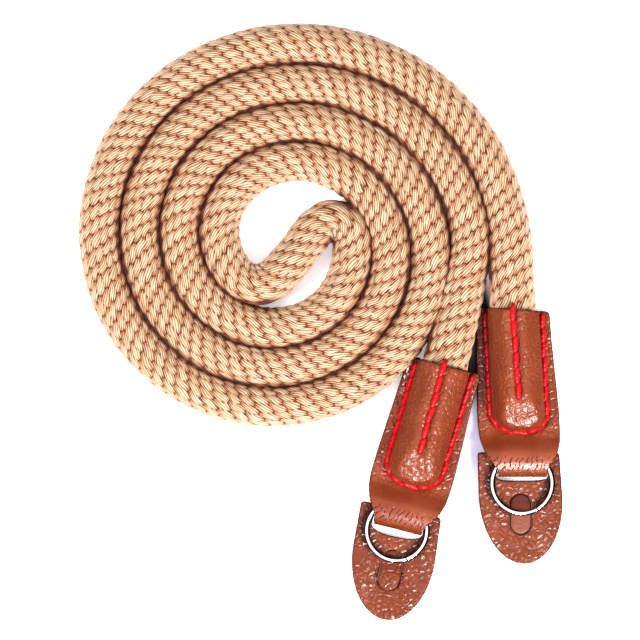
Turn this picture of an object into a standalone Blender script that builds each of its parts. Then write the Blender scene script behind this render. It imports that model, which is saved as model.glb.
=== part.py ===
"""Camera neck strap, lying as it is put down on a table.

One braided rope is folded in half at a tight bight and wound as a flat spiral of two strands. Each of
its two ends runs into a leather end piece, whose lower end is folded into a loop. The loop holds a steel
split ring and, under the ring, a leather protector tab that hangs on the loop by the bridge above its
wide slot.

Places are measured from the middle of the coil, x to the right and y away from the end pieces, and the
whole strap is then moved so that the middle of the end pieces' footprint is the origin. The table is z = 0.
"""

import math

import bmesh
import bpy
import numpy as np

MM = 0.001

# ---------------------------------------------------------------- driving dimensions
STRAP_ORIGIN = (43.18 * MM, -55.07 * MM)  # middle of the end pieces' footprint, from the middle of the coil

LEATHER = 1.1 * MM  # one layer of an end piece
GAP = 0.3 * MM  # clearance between neighbouring pieces

ROPE_RADIUS = 4.62 * MM  # the rope is 10 mm thick; this keeps neighbouring strands clear of each other
ROPE_REST_HEIGHT = 4.75 * MM
ROPE_SIDES_RESOLUTION = 3
COIL_PITCH = 20.0 * MM  # radius lost in one turn: two strands side by side
COIL_SQUASH = 0.975  # the coil is this much shorter along y than along x
COIL_POINTS_PER_TURN = 15
STRAND_A_RADIUS = 56.25 * MM  # the strand that runs to the right end piece
STRAND_A_POINTS = 30
STRAND_B_RADIUS = 46.25 * MM  # the strand that runs to the left end piece
STRAND_B_POINTS = 24
ROPE_RISE_START = 27.0 * MM  # the rope leaves its pocket's height this far from its end ...
ROPE_RISE_END = 52.0 * MM  # ... and lies on the table from here on

# The rope's stretches that follow no rule, as (x, y) in millimetres.
APPROACH_A = [(56.6, -8.4)]
BIGHT = [
    (17.0, -0.4),
    (15.9, 4.0),
    (12.0, 6.0),
    (7.75, 4.0),
    (3.9, -0.9),
    (0.25, -5.4),
    (-4.25, -9.4),
    (-9.25, -9.75),
]
APPROACH_B = [(44.25, -11.4), (42.6, -18.9), (41.1, -25.6)]
BIGHT_STATIONS_PER_SPAN = 2

# End pieces: `fold` and `mouth` are the middles of the folded edge and of the rope's mouth, in millimetres,
# and the angles are those of these two edges, in degrees. `corner_cut` takes the mouth's corners clear of
# the neighbours.
END_PIECES = {
    "right": {"fold": (59.44, -58.18), "mouth": (56.98, -16.43), "fold_angle": 0.0, "mouth_angle": -3.5,
              "corner_cut": 0.0},
    "left": {"fold": (28.12, -71.38), "mouth": (39.82, -30.42), "fold_angle": -14.0, "mouth_angle": -14.4,
             "corner_cut": 2.2 * MM},
}
END_LENGTH = 42.0 * MM
# Half width of an end piece at a distance from its fold, both in millimetres.
END_OUTLINE = [
    {"from_fold": 0.0, "half_width": 5.82},
    {"from_fold": 1.7, "half_width": 5.82},
    {"from_fold": 3.0, "half_width": 6.7},
    {"from_fold": 4.6, "half_width": 7.8},
    {"from_fold": 6.9, "half_width": 8.95},
    {"from_fold": 9.4, "half_width": 9.8},
    {"from_fold": 12.0, "half_width": 10.0},
    {"from_fold": 17.0, "half_width": 10.0},
    {"from_fold": 24.5, "half_width": 9.7},
    {"from_fold": 34.5, "half_width": 9.25},
    {"from_fold": 42.0, "half_width": 9.15},
]
WING_HEIGHT = 2.3 * MM  # both layers where they are sewn together
POCKET_RADIUS = 5.3 * MM
POCKET_HEIGHT = LEATHER + POCKET_RADIUS
POCKET_SIDES = 16
ROPE_END_FROM_FOLD = 15.8 * MM
BULGE_HALF_WIDTH = 6.95 * MM
BULGE_SIDE_POWER = 2.6
BULGE_END_FROM_FOLD = 16.3 * MM  # where the bulge over the rope starts to round off
BULGE_END_LENGTH = 4.7 * MM
BULGE_END_POWER = 2.2
LOOP_HEIGHT = 6.2 * MM
LOOP_ROLL = LOOP_HEIGHT / 2
LOOP_PLATEAU_END = 9.2 * MM
LOOP_SLOPE_END = 11.4 * MM
CHANNEL_FLOOR_END = 8.8 * MM  # the loop's hollow has its full height up to here
CHANNEL_TIP = (10.0 * MM, 1.7 * MM)  # where the two layers part: from the fold, and above the table
ROLL_STEPS = 6

# Protector tabs: `top` is the middle of the straight top edge in millimetres, `fold_at` is where the loop's
# folded edge crosses the tab, as (sideways, down) from there, `ring_at` is the ring's middle in the same
# way, and `tongue` lists the tongue's height over the tab's face at its upper end, waist and lower end.
TABS = {
    "right": {"top": (58.48, -51.98), "angle": 0.0, "fold_at": (0.96, 6.2), "ring_at": (0.95, 7.63),
              "sliver": 1.1, "tongue": (-0.5, 0.0, -0.1)},
    "left": {"top": (29.16, -66.28), "angle": -12.3, "fold_at": (0.05, 5.2), "ring_at": (0.05, 5.3),
             "sliver": 2.0, "tongue": (-0.12, 0.0, 1.2)},
}
TAB_THICKNESS = 1.2 * MM
TAB_LENGTH = 28.1 * MM
TAB_STRAIGHT = 11.2 * MM
TAB_TOP_HALF_WIDTH = 10.25 * MM
TAB_HALF_WIDTH = 10.5 * MM
TAB_LEAN = 0.054  # sideways shift of the rounded end for each unit down
TAB_SLOPE = 0.0596  # rise of the tab towards its bridge, which lies on the loop's back layer
TAB_ARC_STEPS = 18
BRIDGE_FROM_FOLD = 2.75 * MM  # the bridge's lower edge lies this far inside the loop's folded edge
SLOT_HALF_WIDTH = 6.4 * MM
SLOT_CLEARANCE = 0.35 * MM
SLOT_ARC_STEPS = 8
TONGUE_SIDEWAYS = 0.6 * MM
TONGUE_TOP = 10.5 * MM
TONGUE_BOTTOM = 20.6 * MM
TONGUE_HALF_WIDTH = 2.7 * MM
TONGUE_CUT = 0.25 * MM
TONGUE_ARC_STEPS = 6
WAIST_HALF_LENGTH = 0.95 * MM  # the stretch under the ring, where the tongue stays joined to the tab
NIB_HALF_LENGTH = 0.5 * MM
NIB_REACH = 0.7 * MM

# Split rings
RING_OUTER_RADIUS = 8.2 * MM
RING_INNER_RADIUS = 6.85 * MM
RING_HEIGHT = 1.4 * MM
RING_EDGE = 0.28 * MM
RING_GROOVE_DEPTH = 0.22 * MM
RING_GROOVE_HALF_HEIGHT = 0.09 * MM
RING_SEGMENTS = 40
RING_SPLIT_WIDTH = 0.45 * MM
RING_SPLIT_ANGLES = {"upper": -62.0, "lower": -84.0}

CUTTER_OVERSHOOT = 3.0 * MM

MATERIALS = {
    "rope_yarn": {"color": (0.72, 0.46, 0.22), "roughness": 0.55, "metallic": 0.0},
    "brown_leather": {"color": (0.26, 0.085, 0.032), "roughness": 0.38, "metallic": 0.0},
    "chromed_steel": {"color": (0.80, 0.80, 0.82), "roughness": 0.08, "metallic": 1.0},
}


# ---------------------------------------------------------------- general helpers
def make_material(name):
    """A Principled material from the table above."""
    values = MATERIALS[name]
    material = bpy.data.materials.new(name)
    material.use_nodes = True
    shader = material.node_tree.nodes["Principled BSDF"]
    shader.inputs["Base Color"].default_value = (*values["color"], 1.0)
    shader.inputs["Roughness"].default_value = values["roughness"]
    shader.inputs["Metallic"].default_value = values["metallic"]
    return material


def make_object(name, vertices, faces, material=None):
    """A mesh object from vertices and faces, with its normals turned outwards."""
    mesh = bpy.data.meshes.new(name)
    mesh.from_pydata([tuple(v) for v in vertices], [], faces)
    shell = bmesh.new()
    shell.from_mesh(mesh)
    bmesh.ops.recalc_face_normals(shell, faces=shell.faces)
    shell.to_mesh(mesh)
    shell.free()
    made = bpy.data.objects.new(name, mesh)
    bpy.context.scene.collection.objects.link(made)
    if material:
        mesh.materials.append(material)
        mesh.shade_smooth()
        mesh.set_sharp_from_angle(angle=math.radians(35))
    return made


def make_tool(name, vertices, faces):
    """A cutter or filler that shapes another object and isn't a piece of its own."""
    tool = make_object(name, vertices, faces)
    tool.hide_render = True
    tool.display_type = "WIRE"
    return tool


def combine(target, tool, operation):
    """Adds a Boolean modifier that cuts the tool out of the target or joins it on."""
    modifier = target.modifiers.new(f"{operation.lower()}_{tool.name}", "BOOLEAN")
    modifier.operation = operation
    modifier.object = tool
    modifier.solver = "EXACT"


def prism(outline, low, high, place):
    """Vertices and faces of an upright prism: an outline of (a, b) pairs between two heights, in place."""
    count = len(outline)
    vertices = [place(a, b, height) for height in (low, high) for a, b in outline]
    sides = [(i, (i + 1) % count, count + (i + 1) % count, count + i) for i in range(count)]
    caps = [tuple(range(count))[::-1], tuple(range(count, 2 * count))]
    return vertices, sides + caps


def rings_to_tube(rings):
    """Vertices and faces of a closed tube through rings that have the same number of points."""
    sides = len(rings[0])
    vertices = [point for ring in rings for point in ring]
    faces = [
        (r * sides + i, r * sides + (i + 1) % sides, (r + 1) * sides + (i + 1) % sides, (r + 1) * sides + i)
        for r in range(len(rings) - 1)
        for i in range(sides)
    ]
    last = (len(rings) - 1) * sides
    caps = [tuple(range(sides))[::-1], tuple(range(last, last + sides))]
    return vertices, faces + caps


def smooth_step(value):
    """0 below 0, 1 above 1, and a smooth S between."""
    t = min(max(value, 0.0), 1.0)
    return t * t * (3 - 2 * t)


def in_row_frame(x, y, z):
    """A place measured from the coil's middle, in the strap's own frame."""
    return (x - STRAP_ORIGIN[0], y - STRAP_ORIGIN[1], z)


# ---------------------------------------------------------------- rope
def strand(radius, count):
    """Points of one strand, inwards: an Archimedean spiral from the right, a little flattened along y."""
    turn = np.arange(count) / COIL_POINTS_PER_TURN
    reach = radius - COIL_PITCH * turn
    angle = 2 * math.pi * turn
    return np.stack([reach * np.cos(angle), COIL_SQUASH * reach * np.sin(angle)], axis=1)


def natural_spline(points, stations):
    """Reads a natural cubic spline through the points, whose parameter is the chord length, at the stations.

    A station is a point's number, and its fraction is the share of the way to the next point.
    """
    chord = np.linalg.norm(np.diff(points, axis=0), axis=1)
    count = len(points)
    system = np.eye(count)
    right = np.zeros((count, points.shape[1]))
    for i in range(1, count - 1):
        system[i, i - 1 : i + 2] = chord[i - 1], 2 * (chord[i - 1] + chord[i]), chord[i]
        steps = (points[i + 1] - points[i]) / chord[i] - (points[i] - points[i - 1]) / chord[i - 1]
        right[i] = 6 * steps
    bend = np.linalg.solve(system, right)
    span = np.minimum(stations.astype(int), count - 2)
    t = (stations - span)[:, None]
    h = chord[span][:, None]
    curve = (1 - t) * points[span] + t * points[span + 1]
    return curve + h * h / 6 * (((1 - t) ** 3 - (1 - t)) * bend[span] + (t**3 - t) * bend[span + 1])


def rope_route():
    """The rope's centreline from the right end piece's pocket to the left one's, as an array of points."""
    pocket_a, pocket_b = (
        [end_axis_point(side, share * END_LENGTH) for share in (ROPE_END_FROM_FOLD / END_LENGTH, 0.69, 1.0)]
        for side in ("right", "left")
    )
    coil_a = strand(STRAND_A_RADIUS, STRAND_A_POINTS)
    coil_b = strand(STRAND_B_RADIUS, STRAND_B_POINTS)[::-1]
    first = pocket_a + [(x * MM, y * MM) for x, y in APPROACH_A]
    bight = [(x * MM, y * MM) for x, y in BIGHT]
    last = [(x * MM, y * MM) for x, y in APPROACH_B] + pocket_b[::-1]
    route = np.array(first + [tuple(p) for p in coil_a] + bight + [tuple(p) for p in coil_b] + last)
    bight_start = len(first) + STRAND_A_POINTS
    bight_spans = range(bight_start, bight_start + len(BIGHT))
    extra = [i + k / BIGHT_STATIONS_PER_SPAN for i in bight_spans for k in range(1, BIGHT_STATIONS_PER_SPAN)]
    stations = np.array(sorted([*range(len(route)), *extra]), dtype=float)
    flat = natural_spline(route, stations)
    steps = np.linalg.norm(np.diff(flat, axis=0), axis=1)
    along = np.concatenate([[0.0], np.cumsum(steps)])
    from_end = np.minimum(along, along[-1] - along)
    heights = [rope_height(distance) for distance in from_end]
    return np.column_stack([flat, heights])


def rope_height(from_end):
    """Height of the rope's middle, from the distance to its nearer end: its pocket's, then the table's."""
    share = smooth_step((from_end - ROPE_RISE_START) / (ROPE_RISE_END - ROPE_RISE_START))
    return POCKET_HEIGHT + (ROPE_REST_HEIGHT - POCKET_HEIGHT) * share


def make_rope(material):
    """The rope: a round tube along its route."""
    curve = bpy.data.curves.new("rope", "CURVE")
    curve.dimensions = "3D"
    curve.bevel_depth = ROPE_RADIUS
    curve.bevel_resolution = ROPE_SIDES_RESOLUTION
    curve.use_fill_caps = True
    route = rope_route()
    spline = curve.splines.new("POLY")
    spline.points.add(len(route) - 1)
    for point, (x, y, z) in zip(spline.points, route):
        point.co = (*in_row_frame(x, y, z), 1.0)
    curve.materials.append(material)
    bpy.context.scene.collection.objects.link(bpy.data.objects.new("rope", curve))


# ---------------------------------------------------------------- leather end pieces
def end_axis_point(side, from_fold):
    """The (x, y) of an end piece's middle line at a distance from its fold."""
    end = END_PIECES[side]
    share = from_fold / END_LENGTH
    return tuple((a + (b - a) * share) * MM for a, b in zip(end["fold"], end["mouth"]))


def end_place(side):
    """A function that puts (across, from_fold, height) of an end piece into the strap's frame."""
    end = END_PIECES[side]

    def place(across, from_fold, height):
        share = from_fold / END_LENGTH
        angle = math.radians(end["fold_angle"] + (end["mouth_angle"] - end["fold_angle"]) * share)
        x, y = end_axis_point(side, from_fold)
        return in_row_frame(x + across * math.cos(angle), y + across * math.sin(angle), height)

    return place


def end_half_width(from_fold, corner_cut):
    """Half width of an end piece, from the outline table, less the cut corners at the mouth."""
    distances = [row["from_fold"] * MM for row in END_OUTLINE]
    widths = [row["half_width"] * MM for row in END_OUTLINE]
    cut = max(0.0, corner_cut - (END_LENGTH - from_fold))
    return float(np.interp(from_fold, distances, widths)) - cut


def end_top_height(across, from_fold):
    """Height of an end piece's upper face.

    The bulge over the rope is a rounded half tube with a rounded end, and the loop is a half round roll, a
    plateau and a slope down to the sewn layers.
    """
    if from_fold < LOOP_SLOPE_END:
        if from_fold < LOOP_ROLL:
            return LOOP_ROLL + math.sqrt(LOOP_ROLL**2 - (LOOP_ROLL - from_fold) ** 2)
        share = smooth_step((from_fold - LOOP_PLATEAU_END) / (LOOP_SLOPE_END - LOOP_PLATEAU_END))
        return LOOP_HEIGHT + (WING_HEIGHT - LOOP_HEIGHT) * share
    sideways = (abs(across) / BULGE_HALF_WIDTH) ** BULGE_SIDE_POWER
    beyond = (max(0.0, BULGE_END_FROM_FOLD - from_fold) / BULGE_END_LENGTH) ** BULGE_END_POWER
    full = POCKET_HEIGHT + POCKET_RADIUS + LEATHER - WING_HEIGHT
    return WING_HEIGHT + full * math.sqrt(max(0.0, 1.0 - sideways - beyond))


def end_bottom_height(from_fold):
    """Height of an end piece's lower face: the roll of the fold, then flat on the table."""
    if from_fold >= LOOP_ROLL:
        return 0.0
    return LOOP_ROLL - math.sqrt(LOOP_ROLL**2 - (LOOP_ROLL - from_fold) ** 2)


def end_stations(corner_cut):
    """The distances from the fold at which an end piece's sections lie."""
    roll = [LOOP_ROLL * (1 - math.cos(math.pi / 2 * i / ROLL_STEPS)) for i in range(ROLL_STEPS + 1)]
    loop = [4.6 * MM, 6.9 * MM, LOOP_PLATEAU_END, 9.8 * MM, 10.3 * MM, 10.8 * MM, LOOP_SLOPE_END]
    bulge_shares = (0.99, 0.95, 0.86, 0.72, 0.5, 0.25, 0.0)
    bulge_end = [BULGE_END_FROM_FOLD - BULGE_END_LENGTH * share for share in bulge_shares]
    straight = [22.0 * MM, 28.0 * MM, 34.5 * MM, END_LENGTH]
    corner = [END_LENGTH - corner_cut] if corner_cut else []
    return sorted({*roll, *loop, *bulge_end, *straight, *corner})


def make_end_piece(side, material):
    """One leather end piece: its outer form, less the rope's pocket and the loop's hollow."""
    place = end_place(side)
    corner_cut = END_PIECES[side]["corner_cut"]
    stations = end_stations(corner_cut)
    half = [0.0, 0.17, 0.33, 0.46, 0.56, 0.63, 0.675, 0.70, 0.72, 0.86, 1.0]
    shares = [-s for s in half[:0:-1]] + half
    columns = len(shares)
    vertices, faces = [], []
    for from_fold in stations:
        width = end_half_width(from_fold, corner_cut)
        for share in shares:
            across = share * width
            vertices.append(place(across, from_fold, end_top_height(across, from_fold)))
    for row in range(len(stations) - 1):
        for column in range(columns - 1):
            corner = row * columns + column
            faces.append((corner, corner + 1, corner + columns + 1, corner + columns))
    under = [(0, columns - 1)]
    for from_fold in stations[1:]:
        width = end_half_width(from_fold, corner_cut)
        under.append((len(vertices), len(vertices) + 1))
        for across in (-width, width):
            vertices.append(place(across, from_fold, end_bottom_height(from_fold)))
    faces.append((*range(columns), under[1][1], under[1][0]))
    for row in range(1, len(stations) - 1):
        faces.append((*under[row], *under[row + 1][::-1]))
    for row in range(len(stations) - 1):
        top, next_top = row * columns, (row + 1) * columns
        left = [top, next_top, under[row + 1][0], under[row][0]]
        right = [top + columns - 1, next_top + columns - 1, under[row + 1][1], under[row][1]]
        faces += [tuple(dict.fromkeys(left)), tuple(dict.fromkeys(right))]
    mouth = (len(stations) - 1) * columns
    faces.append((*range(mouth, mouth + columns), under[-1][1], under[-1][0]))
    body = make_object(f"leather_end_{side}", vertices, faces, material)
    combine(body, make_pocket(side), "DIFFERENCE")
    combine(body, make_channel(side), "DIFFERENCE")


def make_pocket(side):
    """The cutter for the rope's pocket: a round tube with a tapered inner end."""
    place = end_place(side)
    taper = 1.6 * MM
    sections = [
        (ROPE_END_FROM_FOLD - 0.6 * MM - taper, 0.68 * POCKET_RADIUS, POCKET_HEIGHT - 1.2 * MM),
        (ROPE_END_FROM_FOLD - 0.6 * MM, POCKET_RADIUS, POCKET_HEIGHT),
        (END_LENGTH + CUTTER_OVERSHOOT, POCKET_RADIUS, POCKET_HEIGHT),
    ]
    angles = [2 * math.pi * (i + 0.5) / POCKET_SIDES for i in range(POCKET_SIDES)]
    rings = [
        [place(radius * math.cos(a), from_fold, height + radius * math.sin(a)) for a in angles]
        for from_fold, radius, height in sections
    ]
    return make_tool(f"pocket_cutter_{side}", *rings_to_tube(rings))


def make_channel(side):
    """The cutter for the loop's hollow, open at both sides: half round at the fold, pointed at the seam."""
    place = end_place(side)
    inner = LOOP_ROLL - LEATHER
    angles = [math.pi / 2 + math.pi * i / (2 * ROLL_STEPS) for i in range(2 * ROLL_STEPS + 1)]
    round_end = [(LOOP_ROLL + inner * math.cos(a), LOOP_ROLL + inner * math.sin(a)) for a in angles]
    roof, floor = (CHANNEL_FLOOR_END, LOOP_HEIGHT - LEATHER), (CHANNEL_FLOOR_END, LEATHER)
    profile = [roof, *round_end, floor, CHANNEL_TIP]
    reach = 14.0 * MM
    rings = [
        [place(across, from_fold, height) for from_fold, height in profile] for across in (-reach, reach)
    ]
    return make_tool(f"channel_cutter_{side}", *rings_to_tube(rings))


# ---------------------------------------------------------------- protector tabs and split rings
def tab_place(side):
    """A function that puts (sideways, down, over its underside) of a tab into the strap's frame."""
    tab = TABS[side]
    angle = math.radians(tab["angle"])
    top_x, top_y = (value * MM for value in tab["top"])
    tilt = math.atan(TAB_SLOPE)

    def place(sideways, down, over):
        up_slope = TAB_LENGTH - down
        along = up_slope * math.cos(tilt) - over * math.sin(tilt) - TAB_LENGTH
        height = up_slope * math.sin(tilt) + over * math.cos(tilt)
        x = top_x + sideways * math.cos(angle) - along * math.sin(angle)
        y = top_y + sideways * math.sin(angle) + along * math.cos(angle)
        return in_row_frame(x, y, height)

    return place


def tab_outline():
    """The tab's outline: straight top edge and sides, then a leaning half ellipse."""
    drop = TAB_LENGTH - TAB_STRAIGHT
    angles = [math.pi * i / TAB_ARC_STEPS for i in range(TAB_ARC_STEPS + 1)]
    round_end = [(TAB_HALF_WIDTH * math.cos(a), TAB_STRAIGHT + drop * math.sin(a)) for a in angles]
    points = [(TAB_TOP_HALF_WIDTH, 0.0), *round_end, (-TAB_TOP_HALF_WIDTH, 0.0)]
    return [(sideways + TAB_LEAN * down, down) for sideways, down in points]


def slot_outline(side):
    """The slot that the loop passes through: straight above and a shallow arc below."""
    middle, fold = (value * MM for value in TABS[side]["fold_at"])
    sliver = TABS[side]["sliver"] * MM
    top = fold - BRIDGE_FROM_FOLD
    shares = [1 - 2 * i / SLOT_ARC_STEPS for i in range(SLOT_ARC_STEPS + 1)]
    arc = [(middle + SLOT_HALF_WIDTH * s, fold + SLOT_CLEARANCE + sliver * (1 - s * s)) for s in shares]
    return [(middle + SLOT_HALF_WIDTH, top), *arc, (middle - SLOT_HALF_WIDTH, top)]


def pill_rows(inset):
    """Rows of (down, half width) of the tongue's outline, which is straight with two round ends."""
    radius = TONGUE_HALF_WIDTH - inset
    upper, lower = TONGUE_TOP + TONGUE_HALF_WIDTH, TONGUE_BOTTOM - TONGUE_HALF_WIDTH
    angles = [math.pi / 2 * i / TONGUE_ARC_STEPS for i in range(1, TONGUE_ARC_STEPS + 1)]
    start = [(upper - radius * math.cos(a), radius * math.sin(a)) for a in angles]
    end = [(lower + radius * math.cos(a), radius * math.sin(a)) for a in reversed(angles)]
    return start, end


def make_tab(side, material):
    """One protector tab: a tilted plate with its slot and the cut round its tongue."""
    place = tab_place(side)
    plate = make_object(f"tab_{side}", *prism(tab_outline(), 0.0, TAB_THICKNESS, place), material)
    below, above = -CUTTER_OVERSHOOT, TAB_THICKNESS + CUTTER_OVERSHOOT
    slot = make_tool(f"slot_cutter_{side}", *prism(slot_outline(side), below, above, place))
    combine(plate, slot, "DIFFERENCE")
    start, end = pill_rows(0.0)
    right = [(TONGUE_SIDEWAYS + half, down) for down, half in [*start, *end]]
    left = [(TONGUE_SIDEWAYS - half, down) for down, half in [*start, *end]][::-1]
    pill = make_tool(f"tongue_cutter_{side}", *prism([*right, *left], below, above, place))
    combine(plate, pill, "DIFFERENCE")
    combine(plate, make_tongue(side, place), "UNION")
    combine(plate, make_nib(side, place), "UNION")


def make_tongue(side, place):
    """The tongue: a strip with round ends that bends up or down on either side of its waist."""
    upper, waist_height, lower = (value * MM for value in TABS[side]["tongue"])
    waist = waist_down(side)
    first, last = TONGUE_TOP + TONGUE_CUT, TONGUE_BOTTOM - TONGUE_CUT

    def rise(down):
        known = (first, waist - WAIST_HALF_LENGTH, waist + WAIST_HALF_LENGTH, last)
        return float(np.interp(down, known, (upper, waist_height, waist_height, lower)))

    start, end = pill_rows(TONGUE_CUT)
    width = TONGUE_HALF_WIDTH - TONGUE_CUT
    middle = [(waist - WAIST_HALF_LENGTH, width), (waist + WAIST_HALF_LENGTH, width)]
    rings = []
    for down, half in sorted([*start, *middle, *end]):
        corners = [(-half, 0.0), (half, 0.0), (half, TAB_THICKNESS), (-half, TAB_THICKNESS)]
        rings.append([place(TONGUE_SIDEWAYS + s, down, over + rise(down)) for s, over in corners])
    return make_tool(f"tongue_filler_{side}", *rings_to_tube(rings))


def make_nib(side, place):
    """The short bar under the ring that joins the tongue to the tab on both sides."""
    waist, reach = waist_down(side), TONGUE_HALF_WIDTH + NIB_REACH
    corners = [(-reach, -NIB_HALF_LENGTH), (reach, -NIB_HALF_LENGTH), (reach, NIB_HALF_LENGTH),
               (-reach, NIB_HALF_LENGTH)]
    outline = [(TONGUE_SIDEWAYS + s, waist + d) for s, d in corners]
    margin = 0.1 * MM
    return make_tool(f"nib_filler_{side}", *prism(outline, margin, TAB_THICKNESS - margin, place))


def waist_down(side):
    """How far down the tab the ring crosses over the tongue."""
    return TABS[side]["ring_at"][1] * MM + (RING_INNER_RADIUS + RING_OUTER_RADIUS) / 2


def ring_profile():
    """The ring's section as (radius, height): two flat turns of wire, with a groove between them."""
    inner, outer, top = RING_INNER_RADIUS, RING_OUTER_RADIUS, RING_HEIGHT / 2
    edge, depth, groove = RING_EDGE, RING_GROOVE_DEPTH, RING_GROOVE_HALF_HEIGHT
    outside = [(outer - edge, -top), (outer, -top + edge), (outer, -groove), (outer - depth, 0.0)]
    outside += [(outer, groove), (outer, top - edge), (outer - edge, top)]
    inside = [(inner + edge, top), (inner, top - edge), (inner, groove), (inner + depth, 0.0)]
    inside += [(inner, -groove), (inner, -top + edge), (inner + edge, -top)]
    return outside + inside


def ring_place(side):
    """A function that puts (a, b, c) of a ring's own frame, c along its axis, into the strap's frame."""
    sideways, down = (value * MM for value in TABS[side]["ring_at"])
    over = TAB_THICKNESS + GAP + RING_HEIGHT / 2
    tab = tab_place(side)

    def place(a, b, c):
        return tab(sideways + a, down - b, over + c)

    return place


def make_ring(side, material):
    """One split ring: the profile carried round, with the two turns' ends as notches above and below."""
    place = ring_place(side)
    profile = ring_profile()
    count = len(profile)
    vertices, faces = [], []
    for segment in range(RING_SEGMENTS):
        angle = 2 * math.pi * segment / RING_SEGMENTS
        vertices += [place(r * math.cos(angle), r * math.sin(angle), height) for r, height in profile]
        here, following = segment * count, (segment + 1) % RING_SEGMENTS * count
        for i in range(count):
            j = (i + 1) % count
            faces.append((here + i, here + j, following + j, following + i))
    ring = make_object(f"split_ring_{side}", vertices, faces, material)
    for turn, low, high in (("upper", 0.0, RING_HEIGHT), ("lower", -RING_HEIGHT, 0.0)):
        angle = math.radians(RING_SPLIT_ANGLES[turn])
        along = np.array([math.cos(angle), math.sin(angle)])
        across = np.array([-along[1], along[0]]) * RING_SPLIT_WIDTH / 2
        near, far = along * (RING_INNER_RADIUS - 1 * MM), along * (RING_OUTER_RADIUS + 1 * MM)
        outline = [near - across, far - across, far + across, near + across]
        split = make_tool(f"split_cutter_{turn}_{side}", *prism(outline, low, high, place))
        combine(ring, split, "DIFFERENCE")


# ---------------------------------------------------------------- the strap
def build():
    for old in list(bpy.data.objects):
        bpy.data.objects.remove(old, do_unlink=True)
    yarn, leather, steel = (make_material(name) for name in MATERIALS)
    make_rope(yarn)
    for side in ("left", "right"):
        make_end_piece(side, leather)
        make_tab(side, leather)
        make_ring(side, steel)


build()
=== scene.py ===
"""Camera neck strap of braided rope, laid in a flat spiral, with leather ends, split rings and tabs.

Lengths in the formulas are millimetres in the part's own frame: x to the right, y away from the tabs, z up
from the surface. They become metres where a mesh is made. The photograph shows 4 pixels for each millimetre.
"""

import math

import bmesh
import bpy
import numpy as np
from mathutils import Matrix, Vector
from mathutils.geometry import delaunay_2d_cdt


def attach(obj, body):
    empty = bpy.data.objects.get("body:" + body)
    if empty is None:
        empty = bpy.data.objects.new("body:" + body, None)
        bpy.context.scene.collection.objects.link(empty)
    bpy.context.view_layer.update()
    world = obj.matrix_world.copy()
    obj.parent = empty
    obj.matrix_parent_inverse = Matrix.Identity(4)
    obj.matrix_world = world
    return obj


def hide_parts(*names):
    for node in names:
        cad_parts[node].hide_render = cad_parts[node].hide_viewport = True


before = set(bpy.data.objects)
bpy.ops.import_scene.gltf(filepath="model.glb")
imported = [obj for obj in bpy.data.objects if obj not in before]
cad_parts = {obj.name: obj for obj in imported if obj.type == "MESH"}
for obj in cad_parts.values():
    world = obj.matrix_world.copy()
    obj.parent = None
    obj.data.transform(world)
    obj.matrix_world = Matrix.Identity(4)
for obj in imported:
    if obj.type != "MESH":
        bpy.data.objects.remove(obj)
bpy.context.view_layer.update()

bl_info = {
    "name": "Camera neck strap",
    "version": (1, 0, 0),
    "blender": (4, 5, 0),
    "location": "3D View > Sidebar > Neck strap",
    "description": "Makes a braided rope camera strap with leather ends, split rings and protector tabs",
    "category": "Add Mesh",
}

MM = 0.001
LAYOUT_ORIGIN = np.array([43.18, -55.07])

# The rope's route, measured from the middle of the coil: radius and number of points of each strand, the
# points that lead from a strand to its pocket, and the bight in the middle.
COIL_PITCH = 20.0
COIL_SQUASH = 0.975
POINTS_PER_TURN = 15
STRAND_A = (56.25, 30)
STRAND_B = (46.25, 24)
APPROACH_A = [(56.6, -8.4)]
APPROACH_B = [(44.25, -11.4), (42.6, -18.9), (41.1, -25.6)]
BIGHT = [
    (17.0, -0.4), (15.9, 4.0), (12.0, 6.0), (7.75, 4.0), (3.9, -0.9), (0.25, -5.4), (-4.25, -9.4),
    (-9.25, -9.75),
]

# The rope's ends: how far from the fold a pocket's three points are, how high the rope's middle is in a
# pocket and on the surface, and from which distance to its tip and over how much it falls.
POCKET_STATIONS = (15.8, 28.98, 42.0)
POCKET_HEIGHT = 6.4
ROPE_REST = 5.0
ROPE_FALL = (27.0, 25.0)
ROUTE_FINENESS = 24

# The braid: 19 chains of plump bundles climb round the rope, each 5/19 of a bundle ahead of the last. Seen
# as a net, the bundles stand at whole numbers of two steps: one nearly along the rope, one slanting round.
CHAINS = 19
CHAIN_SKIP = 5
BUNDLE_PERIOD = 4.575
CHAIN_CLIMB = 0.388
ROPE_RADIUS = 5.0
STEP_ROUND = np.array([
    BUNDLE_PERIOD * CHAIN_SKIP / CHAINS,
    2 * np.pi * ROPE_RADIUS / CHAINS + CHAIN_CLIMB * BUNDLE_PERIOD * CHAIN_SKIP / CHAINS,
])
STEP_ALONG = np.array([BUNDLE_PERIOD, CHAIN_CLIMB * BUNDLE_PERIOD]) - STEP_ROUND

# A bundle: how it leans, how far it reaches ahead and behind its crown and to each side, how much its depth
# differs by chance, and the depth at which it ends. Then the mesh's rows and columns for each step of the
# net, the fibres' distance and slant, and the slow waves that disturb the net: rates along and turns round.
BUNDLE_LEAN = math.radians(24.0)
BUNDLE_TIP = 1.5
BUNDLE_TAIL = 2.6
BUNDLE_HALF = 0.95
BUNDLE_SPREAD = 0.12
BUNDLE_DEEPEST = 1.8
BUNDLES_AROUND = ((0, 0), (1, 0), (0, 1), (1, 1))
ROWS_PER_STEP = 6
COLUMNS_PER_STEP = 4
FIBRE_PITCH = 0.58
FIBRE_SLANT = 0.1
WAVES = ((0.37, 1), (0.61, -2), (0.93, 3), (1.31, -1), (0.78, 5), (1.7, 2))

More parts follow.
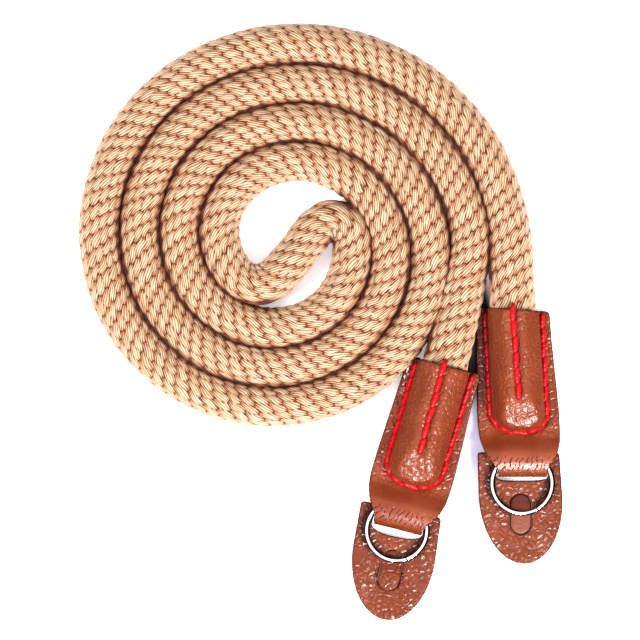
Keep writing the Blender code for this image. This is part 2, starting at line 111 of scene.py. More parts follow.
# The rope's section, in shares and millimetres. Pairs are a distance from the end and the length over which
# the change then fades. The lowest points stay a little above the surface.
FLAT_NEAR_ENDS = (34.0, 34.0)
FLAT_WIDE = 1.1
FLAT_HIGH = 0.93
HELD_IN_POCKET = (24.0, 3.0)
HELD_WIDE = 0.93
TIP_LENGTH = 5.0
TIP_SHARE = 0.8
SIDE_SWELL = 0.3
LOWEST = 0.03
PLAIN_TIP = 4.0
PLAIN_TIP_RELIEF = -0.25

# Inside a bend the section is squeezed beyond this share of the bend's radius, by no more than the room. The
# route's turning is averaged over some points. A tip's points are within so many metres of its middle.
INNER_LIMIT = 0.6
INNER_ROOM = 0.32
TURN_WINDOW = 9
TIP_REACH = 0.0062

# Turns that touch: the distance between their middle lines, and over how much more the pressing fades. A
# stretch lies beside another when it is within 3 mm along it and over 12 mm away on the route. The last two
# pairs are the cosines from which yarn beside another turn gets painted shade and outer yarn painted light,
# and over how much more it does fully.
TOUCHING = (10.3, 2.5)
BESIDE_WITHIN = 3.0
BESIDE_FROM = 12.0
FAR_AWAY = 99.0
TURN_SHADE_SIDE = (0.72, 0.25)
OUTER_SIDE = (0.55, 0.4)

# End pieces: middles of the fold and the mouth, and the angles of these two edges in degrees. A corner at
# the mouth is its side (-1 left, 1 right) and how far it rides up.
ENDS = {
    "right": {
        "fold": (59.44, -58.18), "mouth": (56.98, -16.43), "angles": (0.0, -3.5),
        "corners": ((-1, 0.25), (1, 0.1)),
    },
    "left": {
        "fold": (28.12, -71.38), "mouth": (39.82, -30.42), "angles": (-14.0, -14.4),
        "corners": ((-1, 3.4), (1, 2.4)),
    },
}
END_LENGTH = 42.0
END_OUTLINE = np.array([
    (0.0, 6.05), (1.7, 6.05), (3.0, 6.8), (4.6, 7.85), (6.9, 9.0), (9.4, 9.8), (12.0, 10.05), (17.0, 10.05),
    (24.5, 9.75), (34.5, 9.3), (42.0, 9.15),
])
LEATHER = 1.1
EDGE_ROUNDING = 0.22
WING_TOP = 2.3
ROLL = 3.1
LOOP_CROWN = 4.6
LOOP_TOP = 6.4
LOOP_FALL = (5.0, 7.0)

# The bulge: half its width, where its round end starts and how far that reaches towards the fold. The facet
# over the rope's cut end: its height at a distance from the fold and how it rises. The valley under the
# middle stitches: how deep, how wide, where it starts and over how much. The groove: how deep, how wide.
BULGE = (6.65, 16.1, 4.6)
BULGE_HEIGHT = 10.5
BULGE_POWERS = (2.6, 2.2)
BULGE_FOOT = 0.02
FACET = (7.4, 13.0, 0.4)
FACET_SOFTNESS = 0.3
VALLEY = (0.95, 1.15, 18.0, 3.5)
GROOVE = (0.28, 0.75)

# A corner at the mouth rises from 3.5 mm beside the middle over 5 mm, and from 31 mm along over 11 mm. The
# mouth's edge is rounded over the last 0.6 mm, by up to 0.4 mm.
CORNER_LIFT = (3.5, 5.0, 31.0, 11.0)
MOUTH_CORNER = (0.6, 0.4)

# An end piece's mesh: columns, and the places near which they crowd, how much and how widely; rows along the
# bottom and round the fold; stretches on top with their rows; and the way round the fold's two quarters.
END_COLUMNS = 121
END_CROWDED = ((-0.74, 0.74), 3.5, 0.1)
END_ROWS = (30, 33)
END_STRETCHES = ((LOOP_CROWN, 10.4, 24), (10.4, 14.8, 34), (14.8, END_LENGTH, 72))
FOLD_REACHES = (5.1, 6.0)

# Stitches: the side line's half width, where its bend starts and how far it drops; pitches; how far the
# stitches overlap, stand askew, rise over the leather and dive into it; and the power of their arch, and how
# thin their ends are and the power with which they taper.
STITCH_LINE = (7.15, 15.3, 4.2)
STITCH_STARTS = ((-7.0, 41.2), (7.35, 41.6))
CENTRE_LINE = np.array([(-0.45, 43.4), (-0.15, 19.9)])
STITCH_PITCHES = (3.65, 3.7)
STITCH_OVERLAP = 0.2
STITCH_SKEW = (0.16, 0.09)
STITCH_LIFT = 0.4
STITCH_DIVE = 0.5
STITCH_STATIONS = 15
STITCH_SIDES = 12
STITCH_MAP_LENGTH = 0.35
STITCH_ARCH = 0.22
STITCH_TAPER = (0.6, 0.3)

# Tabs: middle of the straight top edge, angle in degrees, where the fold and the ring cross, depth of the
# slot's arc, and the tongue's height above the ring's crossing, at it and below it. The tongue stays flat
# for 0.9 mm on both sides of the crossing and takes 2.2 and 3 mm for its steps.
TABS = {
    "right": {
        "top": (58.48, -51.98), "angle": 0.0, "fold": (0.96, 6.2), "ring": (0.95, 7.63), "sliver": 0.62,
        "tongue": (-0.95, 0.0, -0.1), "wave": 1.7,
    },
    "left": {
        "top": (29.16, -66.28), "angle": -12.3, "fold": (0.05, 5.2), "ring": (0.05, 5.3), "sliver": 1.5,
        "tongue": (-0.12, 0.0, 1.2), "wave": 0.4,
    },
}
TAB_THICKNESS = 1.2
TAB_LENGTH = 28.1
TAB_STRAIGHT = 11.2
TAB_TOP_HALF = 10.25
TAB_HALF = 10.5
TAB_LEAN = 0.054
TAB_SLOPE = 0.0596
TAB_EDGE = ((0.38, 0.0), (0.13, 0.07), (0.0, 0.34), (0.0, 0.86), (0.13, 1.13), (0.38, 1.2))
LATTICE = 0.8
LATTICE_CLEARANCE = 0.45
SLOT_HALF = 6.5
SLOT_AT_FOLD = (2.75, 0.35)
TONGUE = {"sideways": 0.6, "top": 10.5, "bottom": 20.6, "half": 2.7}
TONGUE_CUT = 0.08
TONGUE_FLAT = 0.9
TONGUE_STEPS = (2.2, 3.0)

# Split rings: angles of the wire's upper and lower end in degrees, how far the two turns stand aside, the
# gaps between the wire's ends (in radians) and between its turns, and the points along and round the wire.
RING_OUTER = 8.2
RING_INNER = 6.85
RING_HEIGHT = 1.4
RING_SPLITS = (-62.0, -84.0)
RING_SHIFT = 0.12
RING_OVER_TAB = 1.0
RING_CORNERS = 1.15
RING_FROM_MIDDLE = 7.525
RING_OVERLAP_GAP = 0.03
RING_TURN_GAP = 0.012
RING_POINTS = (240, 24)
WIRE_END = 0.22

# The leather of the end pieces, by centimetres along the strip from the fold: the band with wrinkles (where
# it begins and ends, with the places where it is full), how many there are, how they slant, how deep they
# are and how much painted shade their creases get; the plainer stretch; the edge of the fold, with its share
# of painted shade; and the waist, which the bump tilts up.
WRINKLE_BAND = ((0.29, 0.36), (0.74, 0.6))
WRINKLES = 24.0
WRINKLE_SLANT = -0.45
WRINKLE_DEPTH = 0.7
WRINKLE_SHADE = 0.6
PLAIN_BAND = ((-0.4, -0.2), (1.3, 1.1))
PLAIN_SHARE = 0.9
FOLD_EDGE = (0.34, 0.2)
FOLD_SHADE = 0.8
WAIST_TILT = (0.36, 0.9, 0.0, 1.2)

# The ring's shade on a tab, in centimetres: its radius, how far it lies aside and up from the ring, and over
# which distances from its middle line it fades in.
RING_SHADE_RADIUS = 0.752
RING_SHADE_OFFSET = (0.09, 0.05)
RING_SHADE_FADE = (0.2, 0.02)
RING_SHADE = 0.85

# Depths of the materials' bumps, in millimetres.
GRAIN_RELIEF = 0.3
TONGUE_RELIEF = 0.12
FIBRE_RELIEF = 1.0
TWIST_RELIEF = 0.06
SCRATCH_RELIEF = 0.01

# The thread's twist: one turn, in radians.
TWIST_TURN = 6.2832

# Tones of the leather beside its own two: painted shade in the wrinkles' creases and on the fold's edge, the
# ring's painted shadow, cut edges, and a tongue's painted shade and cut edges.
WRINKLE_PAINTED_SHADE = (0.035, 0.008, 0.004, 1.0)
FOLD_PAINTED_SHADE = (0.115, 0.021, 0.005, 1.0)
RING_TONE = (0.035, 0.007, 0.004, 1.0)
CUT_TONES = ((0.035, 0.010, 0.005, 1.0), (0.11, 0.038, 0.017, 1.0))
TONGUE_PAINTED_SHADE = (0.03, 0.006, 0.003, 1.0)
TONGUE_CUT_TONE = (0.06, 0.016, 0.007, 1.0)

# The rope's painted shade and light. A limit pair is of the depth below the crown, unless its name says
# otherwise, and four numbers are two limits and what they become.
RIM_LIMITS = (0.2, 1.1)
RIM_SHADE = 0.85
TINT_SHARE = 0.5
TURN_SHADE_LIMITS = (0.0, 0.7)
OUTER_SHARE = 0.5
FIBRE_LIMITS = (-0.15, 0.8)
FURROW_BY_DEPTH = (0.1, 0.9, 0.62, 1.0)
FURROW_BY_OUTER = (0.0, 1.0, 1.0, 0.6)
SUNK_LIMITS = (1.1, 1.5)
SUNK_FURROW_LIMITS = (0.8, 1.25)
SUNK_TURN_SHADE_LIMITS = (0.74, 1.08)
SUNK_TURN_SHADE_DEPTH = 0.45

# Tones of the rope beside its own two: painted shade on the bundles' rims and where turns touch, painted
# light on the outer side, the fibres' dark furrows (darker deep down, as painted shade), and painted shade
# in the deepest creases.
RIM_PAINTED_SHADE = (0.33, 0.155, 0.072, 1.0)
TOUCH_PAINTED_SHADE = (0.22, 0.08, 0.03, 1.0)
OUTER_PAINTED_LIGHT = (0.66, 0.44, 0.32, 1.0)
FURROW_TONE = (0.075, 0.016, 0.004, 1.0)
SUNK_PAINTED_SHADE = (0.06, 0.010, 0.003, 1.0)

# The thread's painted shade where it dives into the leather, the chrome's tones, and the painted reflection
# on its flanks.
DIVING_PAINTED_SHADE = (0.26, 0.002, 0.006, 1.0)
CHROME_TONES = ((0.90, 0.90, 0.91, 1.0), (0.96, 0.96, 0.97, 1.0))
CHROME_PAINTED_REFLECTION = (0.03, 0.03, 0.035, 1.0)

# Stage: the middle of the photograph, the floor's colour and glow, its two painted shadows (x, y, half width
# and half length in metres, colour and glow there), and the lamps (place, size, share of power, colour, and
# whether they show in glossy surfaces and nowhere else).
VIEW_MIDDLE = (-0.03443, 0.036195, 0.0)
LENS = 200.0
SENSOR = 36.0
FLOOR = ((0.93, 0.93, 0.945, 1.0), (1.0, 0.985, 1.0, 1.0))
FLOOR_PAINTED_SHADOWS = (
    (0.0031, 0.0037, 0.009, 0.02, (0.62, 0.6, 0.76, 1.0), (0.3, 0.28, 0.4, 1.0)),
    (0.0036, 0.033, 0.007, 0.019, (0.05, 0.045, 0.06, 1.0), (0.0, 0.0, 0.0, 1.0)),
)
LAMPS = {
    "key": ((0.55, -0.42, 0.62), 0.32, 1.0, (1.0, 0.975, 0.94), False),
    "fill": ((-0.6, -0.1, 0.6), 0.3, 0.6, (1.0, 0.98, 0.96), False),
    "glints": ((0.16, -0.6, 0.62), 0.3, 1.0, (1.0, 0.985, 0.98), True),
}
SKY = (1.0, 0.985, 1.0, 1.0)


# ---------------------------------------------------------------- numbers and meshes


def smooth_step(share):
    """3t^2 - 2t^3 with t held between 0 and 1."""
    t = np.clip(share, 0.0, 1.0)
    return t * t * (3.0 - 2.0 * t)


def fade(distance, start, span):
    """1 up to start, then smoothly down to 0 over the span."""
    return 1.0 - smooth_step((distance - start) / span)


def lerp(a, b, share):
    """a + (b - a) * share."""
    return a + (b - a) * share


def unit(vectors):
    """Each row divided by its length."""
    return vectors / np.linalg.norm(vectors, axis=-1, keepdims=True)


def lengths(line):
    """How far along a line each of its points is."""
    return np.concatenate([[0.0], np.cumsum(np.linalg.norm(np.diff(line, axis=0), axis=1))])


def read(values, known, at):
    """The rows of values, known at some lengths, read in between at other lengths."""
    return np.stack([np.interp(at, known, values[:, k]) for k in range(values.shape[1])], -1)


def leftward(ahead):
    """The flat directions turned a quarter turn to the left."""
    return np.stack([-ahead[:, 1], ahead[:, 0]], 1)


def grid_faces(rows, columns, closed=False):
    """Quads of a grid of points numbered row by row; a closed grid joins its last column to its first."""
    spans = columns if closed else columns - 1
    r, c = np.meshgrid(np.arange(rows - 1), np.arange(spans), indexing="ij")
    after = (c + 1) % columns
    near = r * columns
    far = near + columns
    return np.stack([near + c, near + after, far + after, far + c], -1).reshape(-1, 4)


def new_piece(name, points, faces, material, uv=None, values=None):
    """A mesh object from points in millimetres and face arrays; uv has a pair for each face corner."""
    mesh = bpy.data.meshes.new(name)
    counts = np.concatenate([np.full(len(block), block.shape[1]) for block in faces])
    corners = np.concatenate([block.ravel() for block in faces])
    mesh.vertices.add(len(points))
    mesh.vertices.foreach_set("co", (np.asarray(points) * MM).ravel())
    mesh.loops.add(len(corners))
    mesh.loops.foreach_set("vertex_index", corners)
    mesh.polygons.add(len(counts))
    mesh.polygons.foreach_set("loop_start", np.concatenate([[0], np.cumsum(counts)[:-1]]))
    mesh.polygons.foreach_set("use_smooth", np.ones(len(counts), bool))
    if uv is not None:
        layer = mesh.uv_layers.new(name="along")
        layer.uv.foreach_set("vector", np.asarray(uv, float).ravel())
    for title, numbers in (values or {}).items():
        attribute = mesh.attributes.new(title, "FLOAT", "POINT")
        attribute.data.foreach_set("value", np.asarray(numbers, float).ravel())
    mesh.update(calc_edges=True)
    mesh.validate()
    mesh.materials.append(material)
    piece = bpy.data.objects.new(name, mesh)
    bpy.context.scene.collection.objects.link(piece)
    return piece


def natural_spline(points, stations):
    """Natural cubic spline whose parameter is the chord; a station is a point's number and a fraction."""
    chord = np.linalg.norm(np.diff(points, axis=0), axis=1)
    count = len(points)
    inner = np.arange(1, count - 1)
    system = np.eye(count)
    system[inner, inner - 1] = chord[:-1]
    system[inner, inner] = 2.0 * (chord[:-1] + chord[1:])
    system[inner, inner + 1] = chord[1:]
    steps = np.diff(points, axis=0) / chord[:, None]
    right = np.zeros_like(points)
    right[inner] = 6.0 * (steps[1:] - steps[:-1])
    bend = np.linalg.solve(system, right)
    span = np.minimum(stations.astype(int), count - 2)
    t = (stations - span)[:, None]
    h = chord[span][:, None]
    curve = (1 - t) * points[span] + t * points[span + 1]
    return curve + h * h / 6 * (((1 - t) ** 3 - (1 - t)) * bend[span] + (t**3 - t) * bend[span + 1])


# ---------------------------------------------------------------- shader nodes


def opaque(colour, times=1.0):
    """A colour times a number, with an alpha of 1."""
    return (*(times * part for part in colour), 1.0)


class Wires:
    """Puts nodes into one node tree; a value is either a number, a colour or another node's output."""

    def __init__(self, tree):
        self.tree = tree

    def add(self, kind, feeds=None, **settings):
        node = self.tree.nodes.new(kind)
        for title, value in settings.items():
            setattr(node, title, value)
        for socket, value in (feeds or {}).items():
            self.feed(node.inputs[socket], value)
        return node

    def feed(self, socket, value):
        if isinstance(value, bpy.types.NodeSocket):
            self.tree.links.new(value, socket)
        else:
            socket.default_value = value

    def math(self, operation, *values):
        return self.add("ShaderNodeMath", dict(enumerate(values)), operation=operation).outputs[0]

    def plus(self, a, b):
        return self.math("ADD", a, b)

    def minus(self, a, b):
        return self.math("SUBTRACT", a, b)

    def times(self, a, b):
        return self.math("MULTIPLY", a, b)

    def times_plus(self, a, b, c):
        return self.math("MULTIPLY_ADD", a, b, c)

    def most(self, a, b):
        return self.math("MAXIMUM", a, b)

    def least(self, a, b):
        return self.math("MINIMUM", a, b)

    def smooth(self, *value_from_to):
        """A smooth step of a value between two limits, from 0 to 1 or between two more numbers."""
        numbers = dict(enumerate(value_from_to))
        return self.add("ShaderNodeMapRange", numbers, interpolation_type="SMOOTHSTEP").outputs[0]

    def between(self, value, rising, falling):
        """1 within a band of a value, with a smooth step from 0 at its start and one back at its end."""
        return self.times(self.smooth(value, *rising), self.smooth(value, *falling))

    def mix(self, share, a, b):
        feeds = {0: share, 6: a, 7: b}
        return self.add("ShaderNodeMix", feeds, data_type="RGBA", clamp_factor=True).outputs[2]

    def noise(self, vector, scale, detail=2.0, roughness=0.5):
        feeds = {"Vector": vector, "Scale": scale, "Detail": detail, "Roughness": roughness}
        return self.add("ShaderNodeTexNoise", feeds).outputs[0]

    def vector(self, x, y, z=0.0):
        return self.add("ShaderNodeCombineXYZ", {0: x, 1: y, 2: z}).outputs[0]

    def place(self):
        return self.add("ShaderNodeTexCoord").outputs["Object"]

    def strip(self):
        """The two coordinates of the piece's own map."""
        spread = self.add("ShaderNodeUVMap", uv_map="along").outputs[0]
        return self.add("ShaderNodeSeparateXYZ", {0: spread}).outputs[:2]

    def attribute(self, title):
        return self.add("ShaderNodeAttribute", attribute_name=title).outputs["Fac"]

    def surface(self, shader, colour, rough, height, depth, strength=1.0):
        """Feeds a shader's colour, roughness and bump, which is depth millimetres deep."""
        bump = self.add("ShaderNodeBump", {"Height": height, "Distance": depth * MM, "Strength": strength})
        for title, value in (("Base Color", colour), ("Roughness", rough), ("Normal", bump.outputs[0])):
            self.feed(shader.inputs[title], value)


def new_group(name, inputs, outputs):
    """An empty shader node group: its tree, wires, inputs and outputs; kinds go by socket name."""
    tree = bpy.data.node_groups.new(name, "ShaderNodeTree")
    for way, kinds in (("INPUT", inputs), ("OUTPUT", outputs)):
        for title, kind in kinds.items():
            tree.interface.new_socket(name=title, in_out=way, socket_type=f"NodeSocket{kind}")
    w = Wires(tree)
    return tree, w, w.add("NodeGroupInput").outputs, w.add("NodeGroupOutput").inputs


def new_material(name, constants):
    """A material with one Principled shader and its constants: the material, wires and shader."""
    material = bpy.data.materials.new(name)
    material.use_nodes = True
    material.node_tree.nodes.clear()
    w = Wires(material.node_tree)
    shader = w.add("ShaderNodeBsdfPrincipled", constants)
    w.add("ShaderNodeOutputMaterial", {"Surface": shader.outputs[0]})
    return material, w, shader


def leather_grain_group():
    """Pebble grain: cells with steep rims and valleys between them, which fade in places, and fine pores.

    Height is swell / 2 + pores / 25 + kept * (0.4 crown + 0.34 plateau), where plateau and crown are a
    narrow and a wide smooth step of the distance to the cell's edge.
    """
    if "leather grain" in bpy.data.node_groups:
        return bpy.data.node_groups["leather grain"]
    tree, w, given, out = new_group(
        "leather grain", {"Place": "Vector", "Cell": "Float", "Smooth": "Float"},
        {"Height": "Float", "Valley": "Float", "Cloud": "Float"},
    )
    per_metre = w.math("DIVIDE", 1000.0, given["Cell"])
    warp = w.add("ShaderNodeTexNoise", {"Vector": given["Place"], "Scale": 500.0, "Detail": 1.0}).outputs[1]
    shifted = w.add("ShaderNodeVectorMath", {0: warp, 1: (0.5, 0.5, 0.5)}, operation="SUBTRACT").outputs[0]
    scaled = w.add("ShaderNodeVectorMath", {0: shifted, "Scale": 0.0012}, operation="SCALE").outputs[0]
    place = w.add("ShaderNodeVectorMath", {0: given["Place"], 1: scaled}, operation="ADD").outputs[0]
    cells = w.add("ShaderNodeTexVoronoi", {
        "Vector": place, "Scale": per_metre, "Randomness": 1.0,
    }, feature="DISTANCE_TO_EDGE").outputs["Distance"]
    plateau = w.smooth(cells, 0.02, 0.17)
    crown = w.smooth(cells, 0.0, 0.5)
    cloud = w.noise(given["Place"], 150.0)
    kept = w.smooth(cloud, w.minus(given["Smooth"], 0.1), w.plus(given["Smooth"], 0.1))
    swell = w.noise(place, w.times(per_metre, 0.45), 1.0)
    rims = w.times(w.times_plus(crown, 0.4, w.times(plateau, 0.34)), kept)
    pores = w.noise(given["Place"], 5200.0)
    w.feed(out["Height"], w.times_plus(pores, 0.04, w.times_plus(swell, 0.5, rims)))
    w.feed(out["Valley"], w.times(w.minus(1.0, plateau), kept))
    w.feed(out["Cloud"], cloud)
    return tree


def wrinkles(w, across, along):
    """Short slanting wrinkles on the loop, in a band along the strip: where a slanted sine is near 0."""
    band = w.between(along, *WRINKLE_BAND)
    bend = w.noise(w.vector(w.times(across, 3.0), w.times(along, 3.5)), 1.0, 1.0)
    slant = w.times_plus(along, WRINKLE_SLANT, across)
    wave = w.math("SINE", w.times(w.times_plus(bend, 0.3, slant), WRINKLES))
    broken = w.noise(w.vector(w.times(across, 9.0), w.times(along, 11.0), 4.0), 1.0, 1.0)
    band = w.times(band, w.smooth(broken, 0.4, 0.52))
    return w.times(w.smooth(w.math("ABSOLUTE", wave), 0.42, 0.0), band)


def leather_material(name, colour, dark, cell, even, ring=None):
    """Glossy pebbled leather with dark cut edges, which the attribute "cut" marks with 1.

    The map's second coordinate is centimetres along the strip from its fold. Where ring is None, the leather
    is that of an end piece: plainer beside the fold, with painted shade on the fold's edge and in the
    creases of the wrinkles on the loop, and a bump that tilts the waist. Else ring is where a tab's ring
    lies, which casts a painted shadow beside its wire. The grain's valleys are darkened as painted shade.
    """
    material, w, shader = new_material(name, {"Specular IOR Level": 0.3})
    place = w.place()
    grain = w.add("ShaderNodeGroup", {
        "Place": place, "Cell": cell, "Smooth": even,
    }, node_tree=leather_grain_group())
    cut = w.attribute("cut")
    across, along = w.strip()
    cloud = grain.outputs["Cloud"]
    height = grain.outputs["Height"]
    valley = w.times(grain.outputs["Valley"], 0.14)
    tone = w.mix(w.smooth(cloud, 0.35, 0.65), opaque(dark), opaque(colour))
    if ring is None:
        crease = wrinkles(w, across, along)
        plain = w.minus(1.0, w.times(w.between(along, *PLAIN_BAND), PLAIN_SHARE))
        height = w.minus(w.times(height, plain), w.times(crease, WRINKLE_DEPTH))
        valley = w.times(valley, plain)
        height = w.plus(height, w.smooth(along, *WAIST_TILT))
        # Painted shade on the edge of the fold, where the leather turns down.
        painted_fold_shade = w.smooth(w.math("ABSOLUTE", along), *FOLD_EDGE)
        tone = w.mix(w.times(painted_fold_shade, FOLD_SHADE), tone, FOLD_PAINTED_SHADE)
        # Painted shade in the creases of the wrinkles.
        tone = w.mix(w.times(crease, WRINKLE_SHADE), tone, WRINKLE_PAINTED_SHADE)
    else:
        centre = (ring[0] / 10.0 - RING_SHADE_OFFSET[0], ring[1] / 10.0 - RING_SHADE_OFFSET[1], 0.0)
        here = w.vector(across, along)
        far = w.add("ShaderNodeVectorMath", {0: here, 1: centre}, operation="DISTANCE").outputs[1]
        under = w.smooth(w.math("ABSOLUTE", w.minus(far, RING_SHADE_RADIUS)), *RING_SHADE_FADE)
        tone = w.mix(w.times(under, RING_SHADE), tone, RING_TONE)
    # Painted shade: the grain's valleys are darker.
    skin = w.mix(valley, tone, opaque(colour, 0.5))
    edge = w.mix(w.noise(place, 2600.0, 3.0), *CUT_TONES)
    rough = w.times_plus(grain.outputs["Valley"], 0.1, w.smooth(cloud, 0.3, 0.7, 0.2, 0.27))
    w.surface(shader, w.mix(cut, skin, edge), w.most(rough, w.times(cut, 0.8)), height, GRAIN_RELIEF)
    return material


def tongue_material(colour):
    """Smooth rubbed leather of the right tongue, with painted shade above the ring, where it dips under the
    tab.
    """
    material, w, shader = new_material("tongue leather", {"Specular IOR Level": 0.3})
    place = w.place()
    down = w.strip()[1]
    cut = w.attribute("cut")
    cloud = w.noise(place, 300.0, 3.0)
    tone = w.mix(cloud, opaque(colour, 0.95), opaque(colour, 1.4))
    # Painted shade above the ring, where the tongue dips under the tab.
    tone = w.mix(w.smooth(down, 1.5, 1.1, 0.0, 0.8), tone, TONGUE_PAINTED_SHADE)
    rough = w.most(w.smooth(cloud, 0.3, 0.7, 0.34, 0.46), cut)
    height = w.noise(place, 900.0, 3.0)
    w.surface(shader, w.mix(cut, tone, TONGUE_CUT_TONE), rough, height, TONGUE_RELIEF)
    return material


def bundle_axes():
    """What one net step along and one round the rope come to along and across a leaning bundle."""
    ahead = np.array([math.cos(BUNDLE_LEAN), math.sin(BUNDLE_LEAN)])
    aside = np.array([-math.sin(BUNDLE_LEAN), math.cos(BUNDLE_LEAN)])
    return [[float(step @ axis) for step in (STEP_ALONG, STEP_ROUND)] for axis in (ahead, aside)]


def bundle_place(w, i, j):
    """How far along and across a bundle a place is that lies i and j net steps from its crown."""
    return [w.times_plus(i, axis[0], w.times(j, axis[1])) for axis in bundle_axes()]


def nearest_bundle_group():
    """Tries one bundle of the braid against the nearest so far and keeps the nearer one.

    Its depth is (b / half)^2 plus (a / tip)^2 ahead of its crown or (a / tail)^2 behind it, where a and b
    are the place along and across it.
    """
    if "nearest bundle" in bpy.data.node_groups:
        return bpy.data.node_groups["nearest bundle"]
    carried = {"Best I": "Float", "Best J": "Float", "Depth": "Float"}
    tree, w, given, out = new_group("nearest bundle", {"I": "Float", "J": "Float", **carried}, carried)
    a, b = bundle_place(w, given["I"], given["J"])
    tip = w.times(w.most(a, 0.0), 1.0 / BUNDLE_TIP)
    tail = w.times(w.least(a, 0.0), 1.0 / BUNDLE_TAIL)
    wide = w.times(b, 1.0 / BUNDLE_HALF)
    depth = w.times_plus(tip, tip, w.times_plus(tail, tail, w.times(wide, wide)))
    nearer = w.math("LESS_THAN", depth, given["Depth"])
    for title in ("I", "J"):
        best = given[f"Best {title}"]
        w.feed(out[f"Best {title}"], w.times_plus(nearer, w.minus(given[title], best), best))
    w.feed(out["Depth"], w.least(depth, given["Depth"]))
    return tree


def own_bundle(w):
    """The bundle that a place belongs to: how far along and across it and how deep it is, and its own tint.

    The map holds periods along the rope and chains round it. A place belongs to the nearest of the four
    bundles around it, and the tint is chance, from the bundle's number along and round the rope.
    """
    u, v = w.strip()
    i = w.times_plus(v, -CHAIN_SKIP / CHAINS, u)
    j = w.times_plus(v, 1.0 - CHAIN_SKIP / CHAINS, u)
    near_i = w.math("FRACT", i)
    near_j = w.math("FRACT", j)
    best = {"Best I": 0.0, "Best J": 0.0, "Depth": 9.0}
    for p, q in BUNDLES_AROUND:
        feeds = {"I": w.minus(near_i, p), "J": w.minus(near_j, q), **best}
        tried = w.add("ShaderNodeGroup", feeds, node_tree=nearest_bundle_group())
        best = {title: tried.outputs[title] for title in best}
    a, b = bundle_place(w, best["Best I"], best["Best J"])
    own_i = w.math("ROUND", w.minus(i, best["Best I"]))
    own_j = w.math("ROUND", w.minus(j, best["Best J"]))
    chain = w.minus(own_j, own_i)
    turns = w.math("FLOOR", w.math("DIVIDE", w.plus(chain, 0.5), CHAINS))
    name = w.vector(w.times_plus(turns, CHAIN_SKIP, own_i), w.times_plus(turns, -CHAINS, chain))
    tint = w.add("ShaderNodeTexWhiteNoise", {"Vector": name}, noise_dimensions="2D").outputs[0]
    return a, b, best["Depth"], tint


def rope_material(light, deep):
    """Braided shiny yarn: plump leaning bundles of fibres overlap like leaves, with painted shade in the
    creases between them.

    Each bundle has its own tint and its own fibres, which fan out from its middle.
    """
    material, w, shader = new_material("braided yarn", {
        "Specular IOR Level": 0.4, "Sheen Weight": 0.18, "Sheen Roughness": 0.4,
        "Sheen Tint": (1.0, 0.74, 0.52, 1.0),
    })
    a, b, depth, tint = own_bundle(w)
    own = w.times(tint, 40.0)
    wobble = w.noise(w.vector(w.times(a, 0.5), w.times(b, 0.6), own), 1.0, 1.0)
    spread = w.times_plus(w.times(a, a), 0.06, 1.0)
    slanted = w.times_plus(a, -FIBRE_SLANT, b)
    fan = w.times_plus(wobble, 0.55, w.times(slanted, spread))
    fibre = w.math("SINE", w.times_plus(fan, 2 * math.pi / FIBRE_PITCH, own))
    fine = w.noise(w.vector(w.times(a, 0.9), w.times(b, 4.5), own), 1.0, 2.0, 0.6)
    furrow = w.smooth(w.times_plus(fine, 2.0, w.minus(-1.0, fibre)), *FIBRE_LIMITS)
    turn_shade = w.attribute("turn_shade")
    outer = w.attribute("outer")
    body = w.mix(w.times(tint, TINT_SHARE), opaque(light), opaque(deep))
    # Painted shade: the bundles' rims, deeper below the crown, are darker.
    body = w.mix(w.times(w.smooth(depth, *RIM_LIMITS), RIM_SHADE), body, RIM_PAINTED_SHADE)
    # Painted shade where another turn lies beside the rope.
    body = w.mix(w.smooth(turn_shade, *TURN_SHADE_LIMITS), body, TOUCH_PAINTED_SHADE)
    # Painted light on the rope's outer side, where no turn lies beside it.
    body = w.mix(w.times(outer, OUTER_SHARE), body, OUTER_PAINTED_LIGHT)
    # The fibres' furrows are a dark pattern; painted shade makes them darker deeper down, and painted light
    # makes them paler on the outer side.
    shown = w.times(furrow, w.smooth(depth, *FURROW_BY_DEPTH))
    body = w.mix(w.times(shown, w.smooth(outer, *FURROW_BY_OUTER)), body, FURROW_TONE)
    # Painted shade deep in the creases, in deep furrows and between touching turns.
    sunk = w.most(w.smooth(depth, *SUNK_LIMITS), w.times(furrow, w.smooth(depth, *SUNK_FURROW_LIMITS)))
    between = w.times_plus(depth, SUNK_TURN_SHADE_DEPTH, turn_shade)
    sunk = w.most(sunk, w.smooth(between, *SUNK_TURN_SHADE_LIMITS))
    rough = w.times_plus(w.most(sunk, shown), 0.45, 0.45)
    height = w.minus(w.times(depth, -0.08), w.times(furrow, 0.06))
    w.surface(shader, w.mix(sunk, body, SUNK_PAINTED_SHADE), rough, height, FIBRE_RELIEF)
    return material


def thread_material(colour):
    """Waxed red thread with a fine twist along it, with painted shade at its ends, where it dives into the
    leather.
    """
    material, w, shader = new_material("red thread", {"Specular IOR Level": 0.3})
    around, along = w.strip()
    twist = w.plus(w.times(around, 2.0), w.times(along, 9.0))
    soft = w.smooth(w.math("SINE", w.times(twist, TWIST_TURN)), -1.0, 0.2)
    cloud = w.noise(w.place(), 900.0)
    tone = w.mix(w.smooth(cloud, 0.3, 0.7), opaque(colour, 0.75), opaque(colour))
    tone = w.mix(soft, opaque(colour, 0.7), tone)
    # Painted shade at both ends, where the thread dives into the leather.
    sunk = w.smooth(w.math("ABSOLUTE", w.minus(along, STITCH_MAP_LENGTH / 2)), 0.09, 0.165)
    rough = w.plus(0.4, w.times(cloud, 0.1))
    w.surface(shader, w.mix(sunk, tone, DIVING_PAINTED_SHADE), rough, soft, TWIST_RELIEF)
    return material


